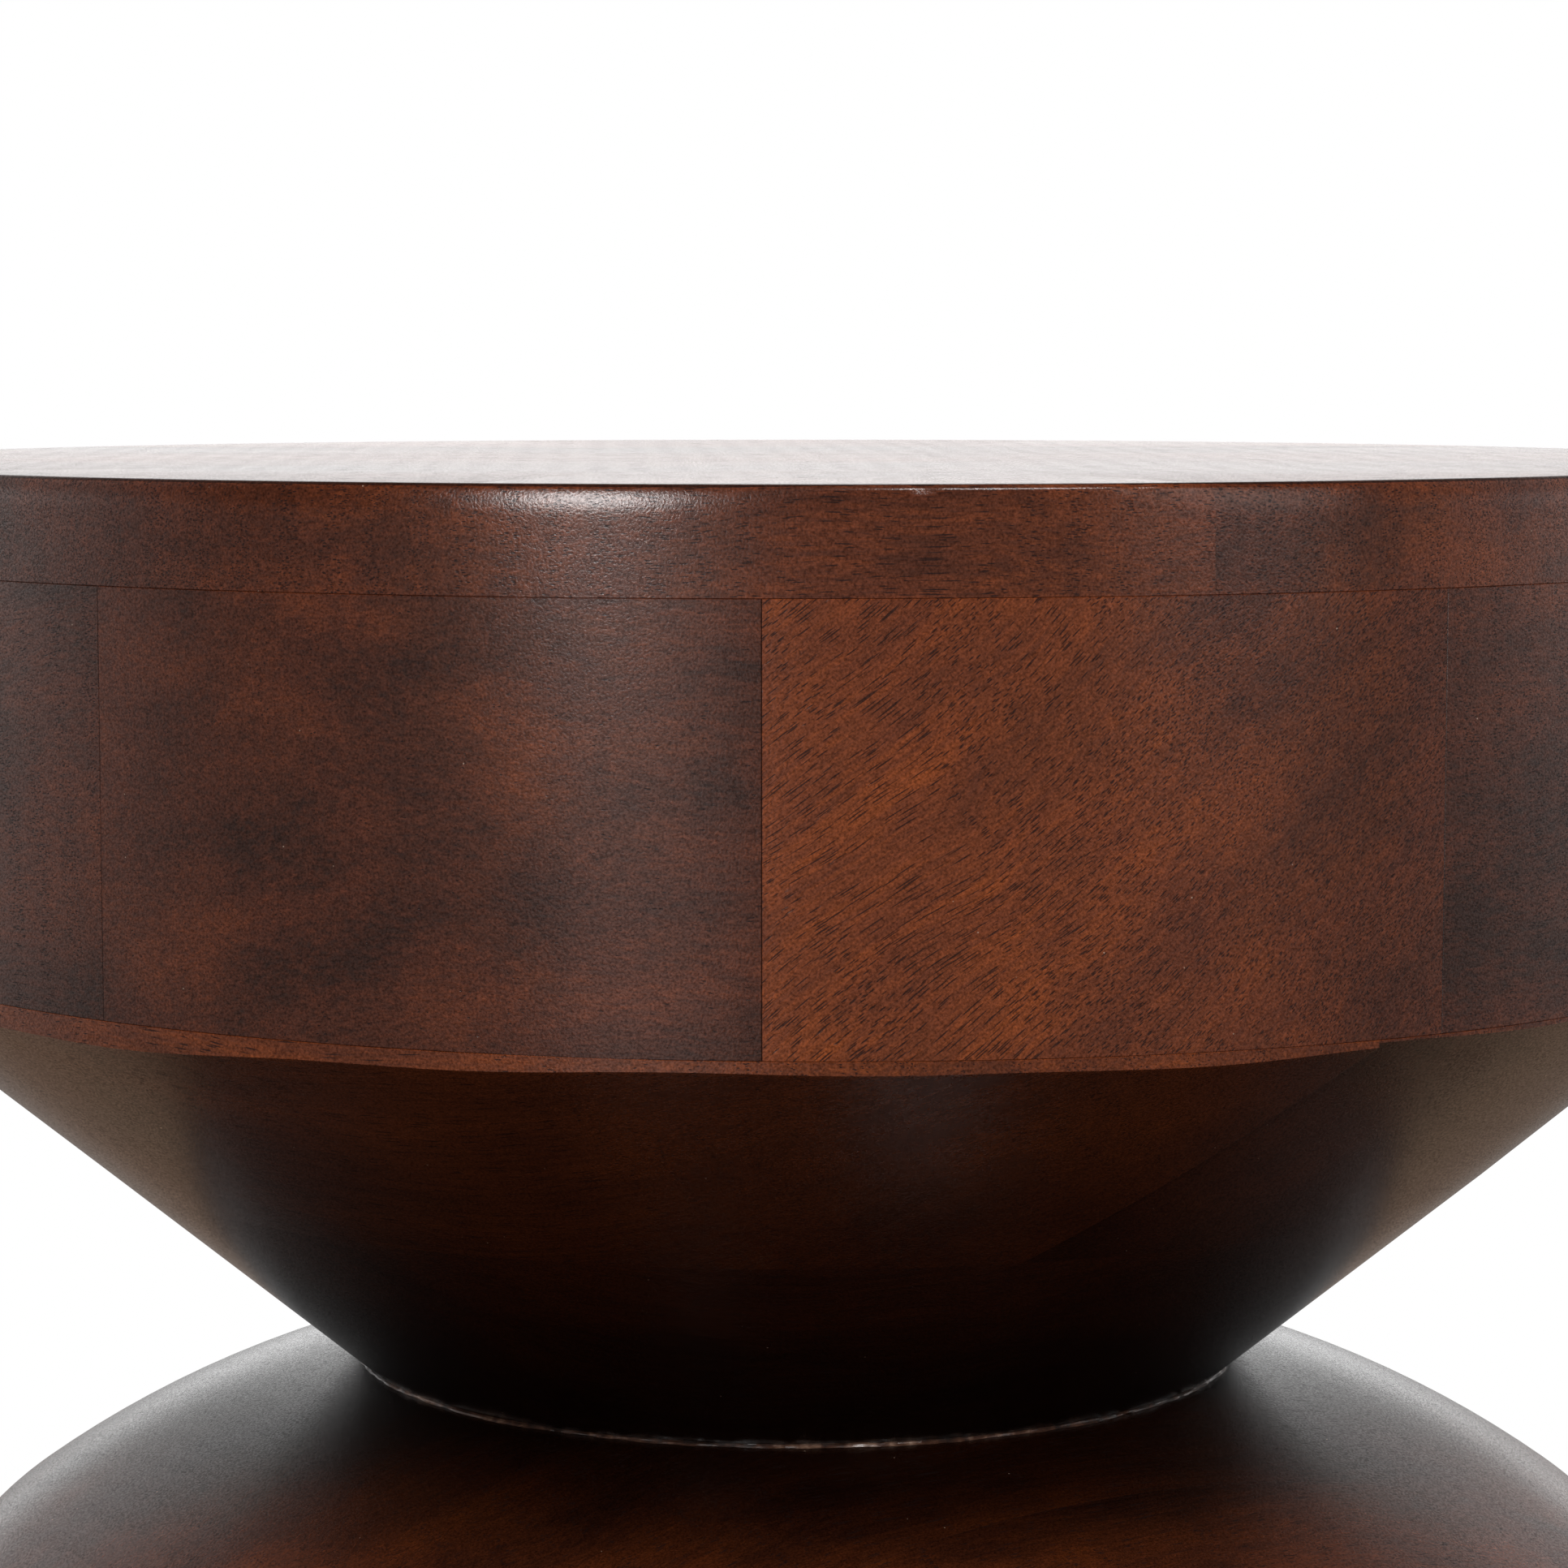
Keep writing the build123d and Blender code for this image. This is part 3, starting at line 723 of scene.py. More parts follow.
def coopered_ring_tree():
    """A ring of mitred staves, numbered in 'stave'. Lengths are in metres, turns in radians."""
    tree, add, sizes = blank_tree(
        "coopered ring",
        Int=("Staves", "Columns"),
        Float=("Outer Radius", "Inner Apothem", "Bottom", "Height", "Seam Bearing",
               "Seam Groove", "Lower Easing", "Upper Easing"),
        Material=("Material",),
    )
    half = add("Math DIVIDE", [math.pi, sizes["Staves"]])
    around = add("Math ADD", [sizes["Columns"], 2.0])
    last = add("Math SUBTRACT", [sizes["Columns"], 1.0])
    inputs = {"Vertices": around, "Side Segments": 3, "Radius": 1.0, "Depth": 3.0}
    blank = add("GeometryNodeMeshCylinder", inputs, fill_type="NGON")

    # Which column and row of the cylinder a point belongs to. Its rows are numbered from the top
    corner_index = add("GeometryNodeInputIndex")
    column = add("Math MODULO", [corner_index, around])
    rows_down = add("Math FLOOR", [add("Math DIVIDE", [corner_index, around])])
    row = add("Math SUBTRACT", [3.0, rows_down])
    is_lowest = add("Math LESS_THAN", [row, 0.5])
    is_highest = add("Math GREATER_THAN", [row, 2.5])
    is_first = add("Math LESS_THAN", [column, 0.5])
    is_last = add("Math COMPARE", [column, last, 0.5])
    at_seam = add("Math ADD", [is_first, is_last])

    # Outside: an arc. Its first and last column are drawn in by the groove, right at the seam
    before_last = add("Math SUBTRACT", [last, 1.0])
    share = add("MapRange", [column, 1.0, before_last, -1.0, 1.0])
    groove_turn = add("Math DIVIDE", [sizes["Seam Groove"], sizes["Outer Radius"]])
    off_seam = add("Math SUBTRACT", [1.0, at_seam])
    reach = add("Math SUBTRACT", [half, add("Math MULTIPLY", [groove_turn, off_seam])])
    bearing = add("Math MULTIPLY", [share, reach])
    radius = sizes["Outer Radius"]
    for easing, there in (("Seam Groove", at_seam), ("Lower Easing", is_lowest),
                          ("Upper Easing", is_highest)):
        depth = add("Math MULTIPLY", [sizes[easing], there])
        radius = add("Math SUBTRACT", [radius, depth])
    outer_x = add("Math MULTIPLY", [radius, add("Math COSINE", [bearing])])
    outer_y = add("Math MULTIPLY", [radius, add("Math SINE", [bearing])])

    # Inside: a flat between two corners that lie on the mitres
    is_inner = add("Math GREATER_THAN", [column, last])
    past_last = add("Math SUBTRACT", [column, last])
    side = add("MapRange", [past_last, 1.0, 2.0, 1.0, -1.0])
    corner = add("Math MULTIPLY", [sizes["Inner Apothem"], add("Math TANGENT", [half])])
    inner_y = add("Math MULTIPLY", [corner, side])

    # Levels: the four rows are both ends and where their easings start
    below_top = add("Math SUBTRACT", [sizes["Height"], sizes["Upper Easing"]])
    level = sizes["Bottom"]
    for number, rise in ((1, sizes["Lower Easing"]), (2, below_top), (3, sizes["Height"])):
        there = add("Math COMPARE", [row, number, 0.5])
        level = add("Math MULTIPLY_ADD", [rise, there, level])

    corners = []
    for outer, inner in ((outer_x, sizes["Inner Apothem"]), (outer_y, inner_y)):
        inputs = {"Switch": is_inner, "False": outer, "True": inner}
        corners.append(add("GeometryNodeSwitch", inputs, input_type="FLOAT"))
    place = add("CombineXYZ", [*corners, level])
    stave = add("GeometryNodeSetPosition", {"Geometry": blank, "Position": place})

    # Set the stave round the axis and number each one
    middles = add("GeometryNodePoints", {"Count": sizes["Staves"]})
    index = add("GeometryNodeInputIndex")
    first = add("Math ADD", [sizes["Seam Bearing"], half])
    width = add("Math MULTIPLY", [half, 2.0])
    turned_to = add("Math MULTIPLY_ADD", [index, width, first])
    rotation = add("CombineXYZ", {"Z": turned_to})
    inputs = {"Points": middles, "Instance": stave, "Rotation": rotation}
    ring = add("GeometryNodeInstanceOnPoints", inputs)
    inputs = {"Geometry": ring, "Name": "stave", "Value": index}
    numbered = add("GeometryNodeStoreNamedAttribute", inputs, data_type="INT", domain="INSTANCE")
    finish_tree(add, numbered, sizes["Material"])
    return tree


coopered_ring = coopered_ring_tree()
print("the ring's tree has", len(coopered_ring.nodes), "nodes")

# %% [markdown]
# The ring is then parted into its staves by their numbers, because each was its own block of
# wood: the grain of one runs level, its neighbour's rises, and each took the stain in its own
# way. Where a stave's grain dives under the face, its long pores are cut to dots.

# %% Drum and skirt
STAVES = 10
HALF_STAVE = 180 / STAVES
DRUM_SEAM_BEARING = -91.64
SKIRT_SEAM_BEARING = -73.64
STAVE_STOCK = 38.0
FOOT_CHAMFER = 2.0
ARC_COLUMNS = 73

# Warmth, pores, rise of the grain and how far it dives, both in degrees, and drift of the warmth
DRUM_WOODS = (
    (0.5, 1.0, 40, -11, -0.26), (0.25, 0.6, 4, 6, 0.1), (0.45, 0.5, 12, 0, 0.0),
    (0.6, 0.7, -30, 10, -0.2), (0.3, 0.3, 0, 4, 0.1), (0.5, 0.6, 25, -8, 0.0),
    (0.35, 0.4, -6, 5, 0.15), (0.55, 0.7, 20, 8, -0.1), (0.3, 0.5, 5, -6, 0.0),
    (0.24, 0.05, 2, 28, -0.04),
)
SKIRT_WOODS = (
    (0.4, 0.4, 88, 4, 0.1), (0.6, 0.6, 84, -5, 0.0), (0.3, 0.5, 92, 6, -0.1),
    (0.5, 0.3, 87, 0, 0.2), (0.65, 0.8, 95, -4, 0.0), (0.35, 0.4, 90, 8, 0.1),
    (0.45, 0.6, 86, -6, -0.15), (0.55, 0.3, 91, 3, 0.0), (0.3, 0.5, 88, -3, 0.1),
    (0.5, 0.7, 93, 5, 0.0),
)


def cooper(start, slot, radius, bottom, top, seam_bearing, woods, foot_easing, tilt=0.0,
           cutter=None):
    """Makes a ring of staves, parts it and places each as a piece. tilt leans its lower end."""
    ring = through_tree(start, coopered_ring, {
        "Staves": STAVES,
        "Columns": ARC_COLUMNS,
        "Outer Radius": radius * MM,
        "Inner Apothem": (radius - STAVE_STOCK) * MM,
        "Bottom": bottom * MM,
        "Height": (top - bottom) * MM,
        "Seam Bearing": math.radians(seam_bearing),
        "Seam Groove": GROOVE * MM,
        "Lower Easing": foot_easing * MM,
        "Upper Easing": GROOVE * MM,
        "Material": FINISHES[slot],
    })
    owners = [value.value for value in ring.data.attributes["stave"].data]
    lower_end = min(vertex.co.z for vertex in ring.data.vertices)
    for number, (warmth, pores, rise, dive, drift) in enumerate(woods, start=1):
        body = bmesh.new()
        body.from_mesh(ring.data)
        others = [vert for vert in body.verts if owners[vert.index] != number - 1]
        bmesh.ops.delete(body, geom=others, context="VERTS")
        for vert in body.verts:
            if vert.co.z < lower_end + MM:
                vert.co.z += tilt * vert.co.x
        piece = as_object(f"{start}_{number}_turned", body)
        piece.data.attributes.remove(piece.data.attributes["stave"])
        if cutter:
            drill(piece, cutter)
        bearing = math.radians(seam_bearing + (2 * number - 1) * HALF_STAVE)
        turn = Matrix.Rotation(bearing, 3, "Z") @ Matrix.Rotation(math.radians(rise), 3, "X")
        turn = turn @ Matrix.Rotation(math.radians(dive), 3, "Z")
        directions = [turn @ Vector(axis) for axis in ((0, 1, 0), (0, 0, 1), (1, 0, 0))]
        near, far = (bearing + math.radians(side * HALF_STAVE) for side in (-1, 1))
        joints = (
            ((-math.sin(near), math.cos(near), 0), 0.0),
            ((math.sin(far), -math.cos(far), 0), 0.0),
        )
        lay_timber(piece.data, directions, joints, warmth, pores, drift)
        place_piece(piece, slot, f"{start}_{number}")
    bpy.data.objects.remove(ring)
    print(start, "has", len(woods), "staves")


cooper("drum_stave", "drum_wood", TOP_RADIUS, DRUM_BOTTOM, DRUM_TOP, DRUM_SEAM_BEARING,
       DRUM_WOODS, foot_easing=GROOVE, tilt=DRUM_TILT)

# %% [markdown]
# Under every other stave of the skirt sits a glide, and its nail needs a pilot hole.

# %% Skirt
GLIDES = STAVES // 2
GLIDE_CIRCLE_RADIUS = SKIRT_RADIUS - STAVE_STOCK / 2
GLIDE_BEARING = SKIRT_SEAM_BEARING + HALF_STAVE
PILOT_RADIUS = 1.25
NAIL_TOP = layer("glide_nails")[2]

pilots = bmesh.new()
pilot = round_steps([(SKIRT_BOTTOM - 1, PILOT_RADIUS, NAIL_TOP)])
add_holes(pilots, pilot, 16, GLIDES, GLIDE_CIRCLE_RADIUS, GLIDE_BEARING)
pilot_cutter = as_object("pilot_cutter", pilots)
cooper("skirt_stave", "skirt_wood", SKIRT_RADIUS, SKIRT_BOTTOM, SKIRT_TOP, SKIRT_SEAM_BEARING,
       SKIRT_WOODS, foot_easing=FOOT_CHAMFER, cutter=pilot_cutter)
bpy.data.objects.remove(pilot_cutter)

# %% [markdown]
# ## Filler in the waist
# Glue and filler were squeezed out of the waist joint and wiped off with a finger. What stayed is
# a thin uneven bead in the corner: a millimetre thick here, almost nothing there. It took hardly
# any stain, so it shows as pale crumbs between dark gaps.

# %% Filler
BEAD_LEG = 1.3
BEAD_ROOT = 0.15  # how far the bead's hidden corner reaches into the wood
BEAD_SHOULDER = 0.62  # where on each leg the face of the bead turns
CONE_ANGLE = math.atan(1 / CONE_SLOPE)
DOME_ANGLE = waist_turn - math.pi / 2


def dried_filler(add):
    """Pale filler with dark crumbs, glossy where the lacquer ran over it."""
    where = add("TexCoord", out="Object")
    inputs = {"Vector": where, "Scale": 1 / (2.2 * MM), "Detail": 4.0, "Roughness": 0.65}
    crumbs = add("TexNoise", inputs)
    patches = add("TexNoise", {"Vector": where, "Scale": 1 / (26 * MM), "Detail": 2.0})
    tone = add("Math MULTIPLY", [add("Math ADD", [patches, crumbs]), 0.5])
    colour = with_stops(add("ValToRGB", [tone]), (0.42, "#1A0D08"), (0.52, "#3E2417"),
                        (0.62, "#6E5444"), (0.7, "#9A877B"))
    bump = add("Bump", {"Height": crumbs, "Distance": 0.25 * MM})
    return {"Base Color": colour, "Roughness": 0.5, "Coat Weight": 0.4, "Coat Roughness": 0.25,
            "Normal": bump}


corner = Vector((WAIST_RADIUS, WAIST_LEVEL))
up_cone = Vector((math.cos(CONE_ANGLE), math.sin(CONE_ANGLE)))
down_dome = Vector((math.cos(DOME_ANGLE), math.sin(DOME_ANGLE)))
bead_profile = [
    corner - Vector((BEAD_ROOT, 0)),
    corner + BEAD_LEG * down_dome,
    corner + BEAD_SHOULDER * BEAD_LEG * down_dome + Vector((0.0, 0.3)),
    corner + BEAD_SHOULDER * BEAD_LEG * up_cone - Vector((0.0, 0.14)),
    corner + BEAD_LEG * up_cone,
]


def uneven_bead(place, turn):
    """Draws the bead's face back towards the corner, more in some places than in others."""
    if place == 0:
        return 0.0, 0.0
    around = Vector((math.cos(turn), math.sin(turn), 0.3 * place))
    size = 0.72 + 0.4 * noise.noise(5 * around) + 0.35 * noise.noise(26 * around)
    inward = (corner - bead_profile[place]) * (1 - min(max(size, 0.3), 1.0))
    return inward.x, inward.y


FINISHES["waist_filler"] = new_finish("dried filler", dried_filler)
bead = as_object("waist_bead", spun(bead_profile, waver=uneven_bead, ring=True))
place_piece(bead, "waist_filler")
print("the bead has", len(bead.data.polygons), "faces")

# %% [markdown]
# ## Underside
# What only shows when the table is turned over: five nylon glides, each nailed on, and five
# screws that hold the bottom panel to cleats. Each is modelled once and set round the axis by a
# small Geometry Nodes tree.


# %% Ring of pieces
def ring_of_pieces_tree():
    """Sets one piece round the axis. Lengths are in metres, turns in radians."""
    tree, add, sizes = blank_tree("ring of pieces", Geometry=("Piece",), Int=("Count",),
                                  Float=("Radius", "First Bearing"), Material=("Material",))
    step = add("Math DIVIDE", [2 * math.pi, sizes["Count"]])
    index = add("GeometryNodeInputIndex")
    bearing = add("Math MULTIPLY_ADD", [index, step, sizes["First Bearing"]])
    x = add("Math MULTIPLY", [add("Math COSINE", [bearing]), sizes["Radius"]])
    y = add("Math MULTIPLY", [add("Math SINE", [bearing]), sizes["Radius"]])
    place = add("CombineXYZ", [x, y])
    points = add("GeometryNodePoints", {"Count": sizes["Count"], "Position": place})
    rotation = add("CombineXYZ", {"Z": bearing})
    inputs = {"Points": points, "Instance": sizes["Piece"], "Rotation": rotation}
    ring = add("GeometryNodeInstanceOnPoints", inputs)
    finish_tree(add, ring, sizes["Material"])
    return tree


ring_of_pieces = ring_of_pieces_tree()
print("the ring of pieces has", len(ring_of_pieces.nodes), "nodes")

# %% [markdown]
# The finishes of the fittings and of the plain wood inside:
#
# - Zinc plating is a metal with a fine spangle, so neighbouring crystals differ a little in
#   roughness.
# - Turned brass keeps fine rings from the tool.
# - Nylon is mould-textured and scuffed.
# - Planed hardwood and stained plywood show fibres and open pores, and have no film on them.


# %% Finishes of the fittings
def fitting_metal(add, colour, spangle_size, rough):
    """A plated or turned metal. Its crystals or tool rings differ in roughness and height."""
    where = add("TexCoord", out="Object")
    scaled = add("VectorMath MULTIPLY", [where, shrunk(spangle_size, MM)])
    cell = add("TexVoronoi", {"Vector": scaled, "Scale": 1.0}).node.outputs
    lot = add("SeparateXYZ", [cell["Color"]])
    wear = add("TexNoise", {"Vector": where, "Scale": 1 / (3 * MM), "Detail": 3.0})
    mix = add("Math MULTIPLY_ADD", [wear, 0.6, lot])
    roughness = add("MapRange", [mix, 0.0, 1.6, rough - 0.08, rough + 0.12])
    dull = add("MapRange", [mix, 0.0, 1.6, 1.0, 0.8])
    tint = add("VectorMath SCALE", {0: linear(colour)[:3], "Scale": dull})
    bump = add("Bump", {"Height": mix, "Distance": 0.01 * MM})
    return {"Base Color": tint, "Metallic": 1.0, "Roughness": roughness, "Normal": bump}


def moulded_nylon(add):
    """Dark nylon, spark-eroded texture from the mould, with pale scuffs."""
    where = add("TexCoord", out="Object")
    texture = add("TexNoise", {"Vector": where, "Scale": 1 / (0.35 * MM), "Detail": 2.0})
    scaled = add("VectorMath MULTIPLY", [where, shrunk((9, 0.7, 0.7), MM)])
    scuffs = add("TexNoise", {"Vector": scaled, "Scale": 1.0, "Detail": 2.0})
    colour = with_stops(add("ValToRGB", [scuffs]), (0.45, "#262220"), (0.62, "#332E2A"),
                        (0.75, "#5A534D"))
    bump = add("Bump", {"Height": texture, "Distance": 0.03 * MM})
    return {"Base Color": colour, "Roughness": 0.48, "IOR": 1.53, "Normal": bump}


def bare_wood(add, stops, fibre_size, figure_size):
    """Wood without a film. The sizes give the grain's direction by their longest side."""
    where = add("TexCoord", out="Object")
    patterns = []
    for size, detail in ((fibre_size, 1.0), (figure_size, 4.0)):
        scaled = add("VectorMath MULTIPLY", [where, shrunk(size, MM)])
        patterns.append(add("TexNoise", {"Vector": scaled, "Scale": 1.0, "Detail": detail}))
    fibres, figure = patterns
    tone = add("Math MULTIPLY_ADD", [fibres, 0.5, figure])
    colour = with_stops(add("ValToRGB", [tone]), *stops)
    bump = add("Bump", {"Height": fibres, "Distance": 0.06 * MM})
    return {"Base Color": colour, "Roughness": 0.65, "Normal": bump}


ZINC_SPANGLE = (0.9, 0.9, 0.9)
TOOL_RINGS = (40, 40, 0.15)
HARDWOOD_STOPS = ((0.5, "#8A6238"), (0.75, "#B98D5C"), (1.0, "#D2AE80"))
PLYWOOD_STOPS = ((0.45, "#2B1912"), (0.72, "#4A2C1E"), (1.0, "#6B4530"))
for slot, name, recipe, *sizes in (
    ("zinc_steel", "zinc-plated steel", fitting_metal, "#BFC3C6", ZINC_SPANGLE, 0.34),
    ("insert_brass", "turned brass", fitting_metal, "#C9A563", TOOL_RINGS, 0.28),
    ("glide_nylon", "moulded nylon", moulded_nylon),
    ("raw_hardwood", "planed hardwood", bare_wood, HARDWOOD_STOPS, (0.4, 0.4, 4), (9, 9, 80)),
    ("panel_board", "stained plywood", bare_wood, PLYWOOD_STOPS, (3.5, 0.4, 0.4), (110, 9, 9)),
):
    FINISHES[slot] = new_finish(name, recipe, *sizes)
for node, finish in (
    ("bottom_panel", "panel_board"),
    ("panel_cleats", "raw_hardwood"),
    ("waist_dowels", "raw_hardwood"),
    ("waist_bolt", "zinc_steel"),
    ("bolt_washer", "zinc_steel"),
    ("threaded_insert", "insert_brass"),
):
    for material_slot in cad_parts[node].material_slots:
        material_slot.material = FINISHES[finish]
print(len(FINISHES), "finishes")

# %% [markdown]
# ## Glides, nails and screws
# A glide is an injection-moulded button with a rounded edge and a pocket that hides the nail's
# head, a nail is headed and pointed from wire, and a screw is headed and then rolled between
# dies. All three are round, so each is one spun profile. The thread is a ridge that the spinning
# raises where the helix passes, and the cross recess is two tapered arms pressed into the head.

# %% Glides, nails and screws
GLIDE_RADIUS = 12.5
POCKET_RADIUS = 3.55
POCKET_DEPTH = 2.2
GLIDE_EDGE = 0.8
EASING = 0.2
NAIL_SHANK_RADIUS = 1.2
NAIL_HEAD_RADIUS = 3.5
NAIL_HEAD = 1.2
NAIL_DOME = 0.8
NAIL_POINT = 3.2
SCREW_CIRCLE_RADIUS = SKIRT_RADIUS - STAVE_STOCK - 12.0
SCREW_BEARING = GLIDE_BEARING + 2 * HALF_STAVE
SCREW_LENGTH = 40.0
SCREW_HEAD_RADIUS = 4.0
SCREW_HEAD = 2.4
THREAD_PITCH = 1.8
THREAD_CREST = 2.0
THREAD_CORE = 1.4
RECESS = (4.6, 1.0, 1.7)  # length and width of one arm, and the depth
RECESS_TAPER = 0.45

glide_profile = [
    (PILOT_RADIUS, SKIRT_BOTTOM), (PILOT_RADIUS, POCKET_DEPTH), (POCKET_RADIUS, POCKET_DEPTH),
    (POCKET_RADIUS, EASING), (POCKET_RADIUS + EASING, 0.0), (GLIDE_RADIUS - GLIDE_EDGE, 0.0),
    *arc((GLIDE_RADIUS - GLIDE_EDGE, GLIDE_EDGE), GLIDE_EDGE, -math.pi / 2, 0.0, 6),
    (GLIDE_RADIUS, SKIRT_BOTTOM - EASING), (GLIDE_RADIUS - EASING, SKIRT_BOTTOM),
]
glide = as_object("glide", spun(glide_profile, steps=64, ring=True))

head_bottom = POCKET_DEPTH - NAIL_HEAD
dome_turns = [math.radians(turn) for turn in range(15, 91, 15)]
nail_profile = [
    (0, head_bottom),
    *((NAIL_HEAD_RADIUS * math.sin(turn), head_bottom + NAIL_DOME * (1 - math.cos(turn)))
      for turn in dome_turns),
    (NAIL_HEAD_RADIUS, POCKET_DEPTH - 0.1), (NAIL_HEAD_RADIUS - 0.1, POCKET_DEPTH),
    (NAIL_SHANK_RADIUS, POCKET_DEPTH), (NAIL_SHANK_RADIUS, NAIL_TOP - NAIL_POINT), (0, NAIL_TOP),
]
nail = as_object("nail", spun(nail_profile, steps=32))

PANEL_BOTTOM = layer("bottom_panel")[1]
thread_start = PANEL_BOTTOM + SCREW_HEAD + 6.0
thread_end = PANEL_BOTTOM + SCREW_LENGTH - 4.0
thread_rows = round((thread_end - thread_start) / THREAD_PITCH * 6)
first_level = thread_start + 0.4  # the shank steps down to the core over this little length
screw_profile = [
    (0, PANEL_BOTTOM), (SCREW_HEAD_RADIUS, PANEL_BOTTOM), (THREAD_CREST, PANEL_BOTTOM + SCREW_HEAD),
    (THREAD_CREST, thread_start),
]
first_thread = len(screw_profile)
screw_profile += [(THREAD_CORE, first_level + (thread_end - first_level) * row / thread_rows)
                  for row in range(thread_rows + 1)]
screw_profile.append((0, PANEL_BOTTOM + SCREW_LENGTH))


def rolled_thread(place, turn):
    """Raises a helix of steep ridges on the screw's core."""
    if not first_thread <= place < len(screw_profile) - 1:
        return 0.0, 0.0
    phase = (screw_profile[place][1] / THREAD_PITCH - turn / (2 * math.pi)) % 1
    return (THREAD_CREST - THREAD_CORE) * max(0.0, 1 - abs(phase - 0.5) * 5), 0.0


screw = as_object("screw", spun(screw_profile, steps=24, waver=rolled_thread))
length, width, depth = (side * MM for side in RECESS)
for across, along in ((length, width), (width, length)):
    arm = bmesh.new()
    for vert in bmesh.ops.create_cube(arm, size=1.0)["verts"]:
        taper, level = (RECESS_TAPER, depth) if vert.co.z > 0 else (1.0, -MM)
        vert.co = Vector((vert.co.x * across * taper, vert.co.y * along * taper,
                          PANEL_BOTTOM * MM + level))
    arm_cutter = as_object("arm_cutter", arm)
    drill(screw, arm_cutter)
    bpy.data.objects.remove(arm_cutter)

for node, shape, radius, bearing, finish in (
    ("glides", glide, GLIDE_CIRCLE_RADIUS, GLIDE_BEARING, "glide_nylon"),
    ("glide_nails", nail, GLIDE_CIRCLE_RADIUS, GLIDE_BEARING, "zinc_steel"),
    ("panel_screws", screw, SCREW_CIRCLE_RADIUS, SCREW_BEARING, "zinc_steel"),
):
    piece = through_tree(f"{node}_formed", ring_of_pieces, {
        "Count": GLIDES,
        "Radius": radius * MM,
        "First Bearing": math.radians(bearing),
        "Material": FINISHES[finish],
    }, shape.data)
    place_piece(piece, finish, node)
    bpy.data.objects.remove(shape)
    print(node, "has", len(piece.data.polygons), "faces")

# %% [markdown]
# ## Studio
# Six softboxes. A large one high in front and one high behind light the wood without a glare.
# The lacquer mirrors the other four: a low strip and a card on the left, a weaker low strip on
# the right, and a narrow strip that draws the thin bright line on the rim. In the mirrored room
# it is bright behind the table and dim in front, so the sheen shows against the dark wood.


# %% Lights
def softbox(name, bearing, elevation, distance, size, power, mirrored=True):
    """An area lamp that looks at the middle of the table. bearing 0 is the camera's side, and
    grows to the right. A lamp that isn't mirrored lights the wood without a glare on it."""
    lamp = bpy.data.lights.new(name, "AREA")
    lamp.shape = "RECTANGLE"
    lamp.size, lamp.size_y = size
    lamp.energy = power
    holder = bpy.data.objects.new(name, lamp)
    turn, rise = math.radians(bearing), math.radians(elevation)
    away = Vector((math.sin(turn) * math.cos(rise), -math.cos(turn) * math.cos(rise), math.sin(rise)))
    holder.location = Vector((0, 0, 0.35)) + distance * away
    holder.rotation_euler = (-away).to_track_quat("-Z", "Y").to_euler()
    holder.visible_glossy = mirrored
    scene.collection.objects.link(holder)


for lamp in (
    ("low left strip", -21, 14, 1.6, (0.34, 0.36), 10.0),
    ("left card", -15, -4, 1.6, (0.5, 0.5), 0.45),
    ("low right strip", 46, 11, 1.7, (0.7, 0.5), 2.1),
    ("high front softbox", 10, 56, 1.7, (1.5, 0.8), 25.0, False),
    ("high back softbox", 180, 62, 1.8, (1.2, 1.0), 22.0, False),
    ("edge strip", 22, 32, 1.7, (0.5, 0.08), 11.0),
):
    softbox(*lamp)
print(len(bpy.data.lights), "softboxes")

# %% [markdown]
# ## The room in the lacquer
# Lacquer is a mirror first and a colour second, so the room round the table shapes the wood. A
# studio would stand white and black boards round it. Here the world does that for mirror rays
# only: three curves say how bright the room is from front to back, and from floor to ceiling at
# either end. The backdrop that the camera sees stays plain white, and only a faint fill reaches
# the wood's own colour.

# %% World
# Each curve has (place, height) points over -1 to 1
ROUND_THE_ROOM = ((-1.0, 0.0), (-0.4, 0.04), (0.1, 0.62), (0.5, 0.66), (0.85, 0.64), (0.955, 0.62),
                  (0.985, 1.0), (1.0, 1.0))
UP_THE_FRONT = ((-1.0, 0.0), (-0.6, 0.0), (-0.4, 0.05), (-0.2, 0.16), (-0.15, 0.4), (-0.07, 0.46),
                (-0.02, 0.15), (0.04, 0.0), (1.0, 0.0))
UP_THE_BACK = ((-1.0, 0.0), (-0.8, 0.0), (-0.65, 0.2), (-0.35, 0.18), (-0.2, 0.16), (-0.1, 0.27),
               (-0.03, 0.32), (0.0, 0.7), (0.01, 1.0), (0.045, 1.0), (0.08, 0.5), (0.15, 0.36),
               (0.2, 0.36), (0.35, 0.46), (0.6, 0.18), (0.75, 0.04), (1.0, 0.0))
BACK_STRENGTH = 3.2
FILL_STRENGTH = 0.024
MIRRORED_FLOOR = "#FFD6B8"

